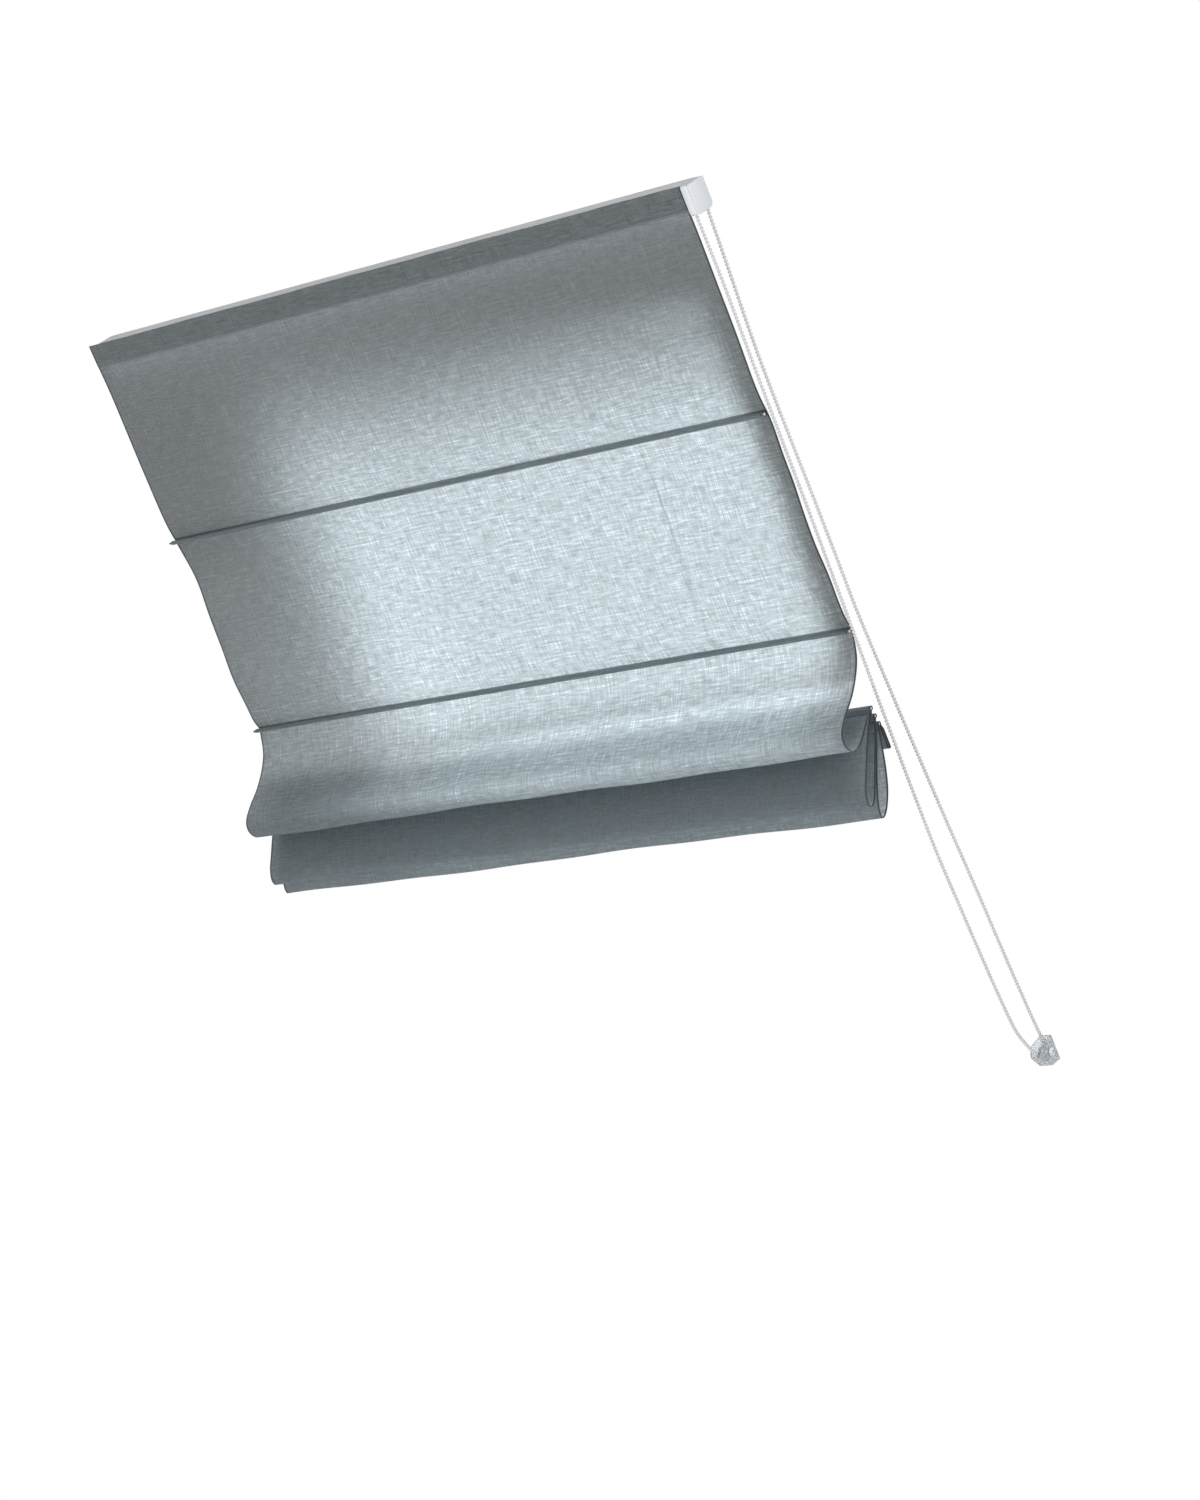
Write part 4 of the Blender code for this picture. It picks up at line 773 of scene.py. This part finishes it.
def turned(node, body, profile, centre, look, segments=48, solid=False, down_slope=False, steps=3):
    """A piece in a CAD node's place, turned about a line through its centre, along x or down the slope.

    Its profile is a closed ring, or a solid that starts and ends on the line.
    """
    profile = rounded(mm(profile), steps)
    angles = np.arange(segments) * math.tau / segments
    rows = []
    for along, radius in profile[1:-1] if solid else profile + profile[:1]:
        across, out, here = radius * np.cos(angles), radius * np.sin(angles), np.full(segments, along)
        rows.append(np.stack((across, here, out) if down_slope else (here, across, out), axis=1) + centre)
    points = np.vstack(rows)
    faces = grid_faces(len(rows), segments, closed=True)
    if solid:
        last = (len(rows) - 1) * segments
        for step in range(segments):
            after = (step + 1) % segments
            faces += [(step, after, len(points)), (last + step, last + after, len(points) + 1)]
        line_way = (0.0, 1.0, 0.0) if down_slope else (1.0, 0.0, 0.0)
        poles = np.outer((profile[0][0], profile[-1][0]), line_way)
        points = np.vstack([points, centre + poles])
    piece = add_piece(f"{node}_finished", place(points), faces, [look], sharp=38)
    mended(piece.data, merge=0.000001)
    belongs(piece, body, node)


def softened(node, look, ease):
    """A copy of a CAD node with its flat faces joined up and its edges rounded, in the node's place."""
    mesh = bpy.data.meshes.new(node)
    mended(frame["nodes"][node].data, mesh, merge=0.000005, flat=math.radians(0.6), outwards=False)
    mesh.materials.clear()
    mesh.materials.append(looks[look])
    mesh.shade_smooth()
    piece = linked(f"{node}_finished", mesh)
    eased = piece.modifiers.new("eased_edges", "BEVEL")
    eased.width = ease
    eased.segments = 2
    eased.limit_method = "ANGLE"
    eased.angle_limit = math.radians(30)
    eased.harden_normals = True
    belongs(piece, frame["nodes"][node]["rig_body"], node)


def strung_tree(name, core):
    """Geometry Nodes that string one rounded shape along a line at an even pitch, on a core if asked."""
    geometry, material = "NodeSocketGeometry", "NodeSocketMaterial"
    inputs = [("Line", geometry, None), ("Pitch", FLOAT, 0.003), ("Half Length", FLOAT, 0.001),
              ("Radius", FLOAT, 0.001), ("Look", material, None)]
    if core:
        inputs += [("Core Radius", FLOAT, 0.0005), ("Core Look", material, None)]
    tree, given, result = new_group(name, inputs, [("Shapes", geometry)], "GeometryNodeTree")

    def step(kind, values, **settings):
        return add(tree, kind, values, "GeometryNode", **settings).outputs

    line = step("MeshToCurve", {"Mesh": given["Line"]})[0]
    even = step("ResampleCurve", {"Curve": line, "Length": given["Pitch"]}, mode="LENGTH")[0]
    spots = step("CurveToPoints", {"Curve": even}, mode="EVALUATED")
    ball = step("MeshIcoSphere", {"Radius": 1.0, "Subdivisions": 2})["Mesh"]
    wide = given["Radius"]
    size = first(tree, "CombineXYZ", {"X": wide, "Y": wide, "Z": given["Half Length"]})
    copies = step("InstanceOnPoints", {"Points": spots["Points"], "Instance": ball,
                                       "Rotation": spots["Rotation"], "Scale": size})[0]
    real = step("RealizeInstances", {"Geometry": copies})[0]
    smooth = step("SetShadeSmooth", {"Geometry": real})[0]
    shapes = step("SetMaterial", {"Geometry": smooth, "Material": given["Look"]})[0]
    if core:
        ring = step("CurvePrimitiveCircle", {"Resolution": 6, "Radius": given["Core Radius"]})["Curve"]
        wire = step("CurveToMesh", {"Curve": even, "Profile Curve": ring})[0]
        wire = step("SetMaterial", {"Geometry": wire, "Material": given["Core Look"]})[0]
        both = add(tree, "JoinGeometry", {0: shapes}, "GeometryNode")
        join(tree, both, {0: wire})
        shapes = both.outputs[0]
    join(tree, result, {"Shapes": shapes})


def strung(name, points, tree, values, closed=False):
    """A plain mesh of the named tree's shapes along a line of world places."""
    count = len(points)
    edges = [(index, (index + 1) % count) for index in range(count if closed else count - 1)]
    mesh = bpy.data.meshes.new(name)
    mesh.from_pydata(np.asarray(points).tolist(), edges, [])
    piece = linked(name, mesh)
    change = piece.modifiers.new("strung", "NODES")
    change.node_group = bpy.data.node_groups[tree]
    for item in change.node_group.interface.items_tree:
        if item.in_out == "INPUT" and item.name in values:
            change[item.identifier] = values[item.name]
    bpy.context.view_layer.update()
    ready = piece.evaluated_get(bpy.context.evaluated_depsgraph_get())
    plain = bpy.data.meshes.new_from_object(ready)
    piece.modifiers.remove(change)
    piece.data = plain
    return piece


# The bead chain


def strand(points):
    """A strand of the chain, which drifts sideways from the drive's wheel to the tensioner's pulley."""
    line = smooth_curve(points, CHAIN_STEP)
    share = (line[:, 0] - SHAFT[0]) / (PULLEY[1] - SHAFT[0])
    return np.column_stack([WHEEL_X + (PULLEY[0] - WHEEL_X) * np.clip(share, 0.0, 1.0), line])


def wrapped(centre, radius, start, end, count):
    """The chain's points round a wheel, from one angle to another."""
    angles = np.linspace(start, end, count)
    return centre + radius * np.stack([0 * angles, -np.sin(angles), np.cos(angles)], axis=1)


def chain_route():
    """The bead chain's middle: over the wheel, down one strand, round the pulley and back."""
    wheel = wrapped((WHEEL_X, *SHAFT), WHEEL_PITCH_RADIUS, 0.0, math.pi, 14)
    pulley = wrapped(PULLEY, PULLEY_PITCH_RADIUS, -math.pi, PULLEY_WRAP - math.pi, 12)
    down, out = SHAFT[0] + WHEEL_LEAVING, SHAFT[1]
    reaching = (PULLEY[1] - PULLEY_REACHING, PULLEY[2] - PULLEY_PITCH_RADIUS)
    inner = strand([(down, out - WHEEL_PITCH_RADIUS), *INNER_STRAND, reaching])
    outer = strand([*OUTER_STRAND[::-1], (down, out + WHEEL_PITCH_RADIUS)])
    return np.vstack([wheel, inner, pulley, outer, wheel[:1]])


def make_chain():
    route = place(chain_route())
    chain = strung("bead_chain_beads", route[:-1], "bead_string", {
        "Pitch": BEAD_PITCH, "Half Length": CHAIN_RADIUS, "Radius": BEAD_RADIUS,
        "Core Radius": BEAD_THREAD, "Look": looks["beads"], "Core Look": looks["beads"]}, closed=True)
    belongs(chain, "root", "bead_chain")


# The cloth


def rod_ways(number):
    """A rod's place, its neck's direction and the side that the cloth comes in from."""
    return [np.array(table[number - 1]) for table in (ROD_PLACES, NECK_WAYS, ENTRY_SIDES)]


def neck_end(number, side):
    """Where cloth ends below a pocket's neck: side is 1 where it comes in and -1 where it goes on."""
    spot, way, entry = rod_ways(number)
    return spot + way * (POCKET_NECK + GAP + CLOTH / 2) + entry * side * (CLOTH / 2 + GAP)


def panel_points():
    """The centre line of each panel's cloth, top to bottom, as (down the slope, out) points."""
    wave_out = ROD_OUT - POCKET_NECK
    leaning = wave_out - HEM_OUT
    lines = [[(PANEL * share, HEM_OUT + leaning * share + extra) for share, extra in TOP_SAG],
             [(PANEL + PANEL * share, wave_out + extra) for share, extra in WAVE]]
    lines += [[hanging(*spot) for spot in loop] for loop in LOOPS]
    tops = [(HEM_END, HEM_OUT)] + [neck_end(number, -1) for number in range(1, 5)]
    ends = [neck_end(number, 1) for number in range(1, 6)]
    return [[top, *line, end] for top, line, end in zip(tops, lines, ends)]


def cloth_columns():
    """Each column's x, how far behind the face it lies, and its place across the cut cloth.

    The first and last few turn the cut edge back as a narrow hem.
    """
    inner, turn = HALF_WIDTH - SIDE_HEM, HALF_WIDTH - HEM_TURN
    edge = [(inner, 1.0, HALF_WIDTH + SIDE_HEM), (turn, 1.0, HALF_WIDTH + HEM_TURN),
            (HALF_WIDTH, 0.5, HALF_WIDTH), (turn, 0.0, turn), (inner, 0.0, inner)]
    middle = [(x, 0.0, x) for x in np.linspace(-inner, inner, round(2 * inner / COLUMN_STEP) + 1)[1:-1]]
    left = [(-x, back, -across) for x, back, across in edge]
    return np.array(left + middle + edge[::-1]), len(edge) - 1


def ripples(x, down, waves):
    """The sum of some waves across the cloth."""
    return sum(height * np.sin(math.tau * x / length + turn * down + start)
               for height, length, turn, start in waves)


def settle_flat(x, along, out, start, height):
    """Let a flat panel bow, curl at its edges and draw in, but not where it is sewn."""
    share = np.clip((along - start) / height, 0.0, 1.0)
    free = np.sin(math.pi * share)
    out = out + free * ripples(x, share, BOWS)
    for side, middle, reach, depth in EDGE_CURLS:
        near_edge = smooth_step((x * side - CURL_START) / (HALF_WIDTH - CURL_START))
        away = np.clip(np.abs(along - middle) / reach, 0.0, 1.0)
        out = out + depth * near_edge * np.cos(away * math.pi / 2) ** 2
    if start > PANEL / 2:
        x = x - DRAWN_IN * free**2 * smooth_step(x / HALF_WIDTH)
    return x, along, out


def settle_loop(x, along, out, number):
    """Let a hanging loop wander along its fold, and stay put near the rods."""
    below = (along - SECOND_ROD) * PLUMB[0] + (out - STACK_LINE_OUT) * PLUMB[1]
    nearest = np.min([np.hypot(along - down, out - off) for down, off in ROD_PLACES[1:]], axis=0)
    free = smooth_step((nearest - LOOP_HELD[0]) / LOOP_HELD[1])
    forward = free * (LOOP_TILT[0] * x / HALF_WIDTH + LOOP_TILT[1] + ripples(x, below, LOOP_SWAYS))
    fold = max(low for _, low in LOOPS[number - 3])
    drop = free * smooth_step(below / fold) ** 2 * ripples(x, number, LOOP_DIPS)
    return (x, along + forward * FORWARD[0] + drop * PLUMB[0],
            out + forward * FORWARD[1] + drop * PLUMB[1])


def settle_hem(x, along, out):
    """Let the top hem waver along its folded edge."""
    free = smooth_step((HEM_STILL - along) / HEM_STILL)
    return x, along + ripples(x, 0.0, HEM_WAVERS) * free, out


def add_cloth(name, line, map_start=0.0, settle=None, seams=None, hem_side=1.0, look="cloth"):
    """A sheet of cloth the blind's width along a line of (down the slope, out) points.

    map_start is where its first row lies on the cut cloth. settle moves its points off the straight line,
    and seams gives each row's distance from a seam, which puckers the cloth and darkens it beside the seam
    as painted shade.
    """
    columns, hem_faces = cloth_columns()
    x, back, across = columns.T
    shape = (len(line), len(columns))
    ways = directions(line)
    facing = np.stack([-ways[:, 1], ways[:, 0]], axis=1)
    lift = -HEM_GAP * hem_side * np.tile(back, (len(line), 1))
    face_looks = np.zeros((shape[0] - 1, shape[1] - 1), dtype=int)
    # The side hems' faces take the edge look, a darker face that is painted shade along the blind's sides.
    face_looks[:, :hem_faces] = 1
    face_looks[:, -hem_faces:] = 1
    if seams is not None:
        near = seams / PUCKER_REACH
        ripple = np.sin(math.tau * x / PUCKER_WAVE + ripples(x, map_start, PUCKER_DRIFT))
        lift = lift + (PUCKER * near * np.exp(1 - near))[:, None] * ripple
        # Rows within that reach of a seam take the seam look, a darker face that is painted shade; the
        # side hems keep their painted-shade edge look.
        sewn = (seams[:-1] + seams[1:]) / 2 < SEAM_PAINTED_SHADE_REACH
        face_looks[sewn] = np.maximum(face_looks[sewn], 2 - face_looks[sewn])
    along, out = [line[:, axis, None] + facing[:, axis, None] * lift for axis in (0, 1)]
    spots = (np.tile(x, (len(line), 1)), along, out)
    if settle is not None:
        spots = settle(*spots)
    own_map = np.stack(np.broadcast_arrays(across, (map_start + distances(line))[:, None]), axis=-1)
    sheet = add_piece(name, place(np.stack(spots, axis=-1)), grid_faces(*shape), [look, "edge", "seam"],
                      own_map, face_looks)
    return sheet


def lay_cloth(node, body, line, held, rests_on=(), **more):
    """A sheet in a CAD node's place that moves with one body."""
    sheet = add_cloth(f"{node}_cloth", line, **more)
    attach(sheet, body)
    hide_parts(node)


def stitch_row(name, spot, body):
    """A row of stitches across the blind at a (down the slope, out) spot."""
    reach = HALF_WIDTH - STITCH_INSET
    points = [place_at(spot, x) for x in np.linspace(-reach, reach, 41)]
    seam = strung(name, points, "stitch_row", {"Pitch": STITCH_PITCH, "Half Length": STITCH_HALF,
                                               "Radius": STITCH_RADIUS, "Look": looks["thread"]})
    belongs(seam, body)


def arc(start, end, step=math.radians(9.0)):
    """Angles from start to end, about this far apart."""
    return np.linspace(start, end, max(2, round(abs(end - start) / step) + 1))


def pocket_line(number):
    """The middle of the cloth round a rod: up one side of the neck, round the tip, down the other."""
    spot, way, entry = rod_ways(number)
    tip, reach = np.array(TIP_WAYS[number - 1]), TIP_REACHES[number - 1]
    lean = math.atan2(tip.dot(entry), tip.dot(way)) % math.tau
    tangent = math.acos((POCKET_CORE - POCKET_TIP) / reach)
    shut = math.asin(NECK_HALF / POCKET_CORE)
    up, down = [[neck_end(number, side)] + [spot + way * height + entry * side * NECK_HALF
                                            for height in NECK_SPOTS] for side in (1, -1)]
    for away, radius, start, end in ((0.0, POCKET_CORE, shut, lean - tangent),
                                     (reach, POCKET_TIP, lean - tangent, lean + tangent),
                                     (0.0, POCKET_CORE, lean + tangent, math.tau - shut)):
        up += [spot + away * tip + radius * (math.cos(angle) * way + math.sin(angle) * entry)
               for angle in arc(start, end)]
    return np.array(up + down[::-1])


def make_pocket(number, map_start):
    """The cloth round a rod and its two rows of stitches, and how long that cloth is."""
    line = pocket_line(number)
    lay_cloth(f"rod_pocket_{number}", f"rod_{number}", line, "stretched", map_start=map_start,
              hem_side=1.0 if number <= 2 else -1.0, look="pocket")
    spot, way, entry = rod_ways(number)
    for side, offset in (("upper", 1), ("lower", -1)):
        sewn = spot + way * NECK_SEAM + entry * (NECK_HALF + SEAM_PROUD) * offset
        stitch_row(f"pocket_seam_{number}_{side}", sewn, f"rod_{number}")
    return float(distances(line)[-1])


def make_panels():
    """Every panel as an upper and a lower sheet that meet at its fold, and every pocket between them."""
    map_start = 0.0
    for number, (points, fold) in enumerate(zip(panel_points(), FOLD_POINTS), start=1):
        line = smooth_curve(points, ROW_STEP)
        cut = int(np.argmin(np.linalg.norm(line - np.array(points[fold]), axis=1)))
        along = distances(line)
        seams = along[-1] - along
        if number > 1:
            seams = np.minimum(along, seams)
        if number <= 2:
            held, settle = "stretched", partial(settle_flat, start=points[0][0],
                                                height=points[-1][0] - points[0][0])
        else:
            held, settle = "folded", partial(settle_loop, number=number)
        above = "root" if number == 1 else f"rod_{number - 1}"
        bent = line[int(np.argmin(np.abs(along - BEND_REACH)))]
        halves = (("upper", slice(0, cut + 1), above, line[0], bent),
                  ("lower", slice(cut, None), f"rod_{number}", line[-1], line[cut]))
        for half, rows, body, sewn_spot, bent_spot in halves:
            name = f"panel_{number}_{half}"
            top, bottom = along[rows][0], along[rows][-1]
            sheet = add_cloth(f"{name}_cloth", line[rows], map_start + top, settle, seams[rows])
            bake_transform(sheet)
            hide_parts(name)
        map_start += along[-1]
        map_start += make_pocket(number, map_start)


def make_top_hem():
    """The doubled band on the rail's front, turned over at its upper edge."""
    turn = CLOTH / 2 + TURN_SPACE
    spots = [(along, HEM_OUT - turn) for along in HEM_BACK]
    spots += [(HEM_TOP + turn - turn * math.cos(angle), HEM_OUT + turn * math.sin(angle))
              for angle in arc(-math.pi / 2, math.pi / 2, math.radians(30))]
    spots += [(along, HEM_OUT + turn) for along in HEM_FRONT]
    spots += [(HEM_FOOT[0], HEM_OUT + HEM_FOOT[1] * turn), (HEM_END, HEM_OUT)]
    line = np.array(spots)
    lay_cloth("top_hem", "root", line, "stretched", ["hook_tape"],
              map_start=-float(distances(line)[-1]), settle=settle_hem, look="hem")
    stitch_row("top_hem_seam", (HEM_SEAM, HEM_OUT + turn + TURN_SPACE), "root")


def make_hem_flap():
    """The hem below the lowest rod, sewn shut along its top round the flat bar."""
    along, out = ROD_PLACES[4]
    top = along + ROD_RADIUS + 2 * GAP + CLOTH
    middle = out - ROD_RADIUS
    bottom = top + FLAP_HEIGHT - CLOTH / 2
    turn = bottom - FLAP_CORNER
    side = [(top + below, half) for below, half in FLAP_MOUTH]
    side += [(spot, FLAP_HALF) for spot in np.linspace(top + FLAP_SIDE[0], turn - FLAP_SIDE[1], 7)]
    straight = FLAP_HALF - FLAP_CORNER
    side += [(turn + FLAP_CORNER * math.cos(angle), straight + FLAP_CORNER * math.sin(angle))
             for angle in arc(math.pi / 2, 0.0, math.radians(22.5))]
    spots = [(spot, middle + half) for spot, half in side] + [(bottom, middle)]
    spots += [(spot, middle - half) for spot, half in reversed(side)]
    lay_cloth("hem_flap", "rod_5", np.array(spots), "folded", ["bottom_bar"], map_start=FLAP_MAP_START)
    for name, offset in (("front", 1), ("back", -1)):
        stitch_row(f"hem_seam_{name}", (top + FLAP_SEAM[0], middle + offset * FLAP_SEAM[1]), "rod_5")


# Rods, rings and cords


def make_rods():
    for number, spot in enumerate(ROD_PLACES, start=1):
        name = f"rod_{number}"
        turned(name, name, ROD_PROFILE, (0.0, *spot), "rod", 24, solid=True, steps=4)


def ring_spot(number):
    """The middle of the ring on a rod, behind its pocket: (down the slope, out)."""
    along, out = ROD_PLACES[number - 1]
    pocket = POCKET_NECK if number <= 2 else ROD_RADIUS
    return along, out - pocket - GAP - CLOTH - (RING_RADIUS + RING_WIRE + GAP)


def stop_spot():
    """The middle of the cord stops' upper ends, behind the hem: (down the slope, out)."""
    along, out = ROD_PLACES[4]
    return along, out - ROD_RADIUS - BAR_HALF - GAP - CLOTH - GAP - STOP_RADIUS


def make_rings_and_stops():
    for side, x in SIDES:
        for number in range(1, 5):
            turned(f"cord_ring_{number}_{side}", f"rod_{number}", RING_PROFILE,
                   (x, *ring_spot(number)), "clear", 32, down_slope=True)
        turned(f"cord_stop_{side}", "rod_5", STOP_PROFILE, (x, *stop_spot()),
               "clear", 32, solid=True, down_slope=True)


def winding_points(x):
    """The turns of cord on a drum, side by side, ending where the cord leaves it."""
    back = np.arange(WINDING_TURNS * WINDING_STEPS, -1, -1) / WINDING_STEPS
    angles = math.pi / 2 + math.tau * back
    radius = DRUM_CORE + CORD_RADIUS + WINDING_RISE * smooth_step(1 - 4 * back)
    return place(np.stack([x - WINDING_PITCH * back, SHAFT[0] - radius * np.cos(angles),
                           SHAFT[1] + radius * np.sin(angles)], axis=1))


def make_lift_cords():
    """Each lift cord in runs from ring to ring, and its turns on the drum."""
    end_along, end_out = stop_spot()
    stations = [("root", (SHAFT[0] + LEAD_LENGTH, CORD_OUT))]
    stations += [(f"rod_{number}", ring_spot(number)) for number in range(1, 5)]
    stations.append(("rod_5", (end_along - GAP, end_out)))
    for side, x in SIDES:
        node = f"lift_cord_{side}"
        lead = [place_at((SHAFT[0] + down, CORD_OUT), x) for down in np.linspace(0.0, LEAD_LENGTH, 6)]
        belongs(add_cord(f"{node}_lead", lead), "root", node)
        for (body, start), (next_body, end) in zip(stations, stations[1:]):
            start, end = np.array(start), np.array(end)
            count = max(4, round(float(np.linalg.norm(end - start)) / CORD_STEP))
            shares = np.linspace(0.0, 1.0, count)
            points = [place_at(start + (end - start) * share, x) for share in shares]
            run = add_cord(f"{node}_to_{next_body}", points)
            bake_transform(run)
            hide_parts(node)
        belongs(add_cord(f"{node}_winding", winding_points(x), 7), "shaft", node)


# The drive and the rest of the hardware


def make_drive():
    """The shaft, the bush that it turns in, its wheel and drums, and the tensioner's pulley."""
    turned("drive_shaft", "shaft", SHAFT_PROFILE, (0.0, *SHAFT), "shaft", solid=True)
    turned("shaft_bush", "root", BUSH_PROFILE, (RAIL_LEFT, *SHAFT), "clear")
    wheels = [("chain_wheel", "shaft", WHEEL_PROFILE, (WHEEL_X, *SHAFT), 72),
              ("tensioner_pulley", "pulley", PULLEY_PROFILE, PULLEY, 56)]
    wheels += [(f"cord_drum_{side}", "shaft", DRUM_PROFILE, (x, *SHAFT), 56) for side, x in SIDES]
    for node, body, profile, centre, segments in wheels:
        turned(node, body, profile, centre, "plastic", segments)


def make_hardware():
    """The rail, mouldings and brackets: the CAD shapes with rounded edges and finished surfaces."""
    pieces = [("headrail", "rail", "white_rail", 0.00025),
              ("left_end_cap", "plastic", "white_plastic", 0.0003),
              ("drive_housing", "plastic", "white_plastic", 0.0003),
              ("drive_cover", "plastic", "white_plastic", 0.0004),
              ("hook_tape", "tape", "tape", 0.0002),
              ("bottom_bar", "aluminium", "aluminium", 0.0002),
              ("tensioner_body", "smoke", "clear_plastic", 0.0003),
              ("tensioner_screw", "chrome", "chrome", 0.00015)]
    pieces += [(f"ceiling_bracket_{where}", "steel", "steel", 0.0002)
               for where in ("left", "centre", "right")]
    pieces += [(f"drum_cradle_{side}", "plastic", "white_plastic", 0.0002) for side, _ in SIDES]
    for node, look, slot, ease in pieces:
        softened(node, look, ease)
    for slot in frame["nodes"]["brake_spring"].material_slots:
        slot.material = looks["steel"]


make_camera()
looks = make_looks()
strung_tree("bead_string", core=True)
strung_tree("stitch_row", core=False)
for make in (make_chain, make_lights, make_world, make_floor, make_panels, make_top_hem, make_hem_flap,
             make_rods, make_rings_and_stops, make_lift_cords, make_drive, make_hardware):
    make()
bpy.context.scene.view_settings.view_transform = "Standard"
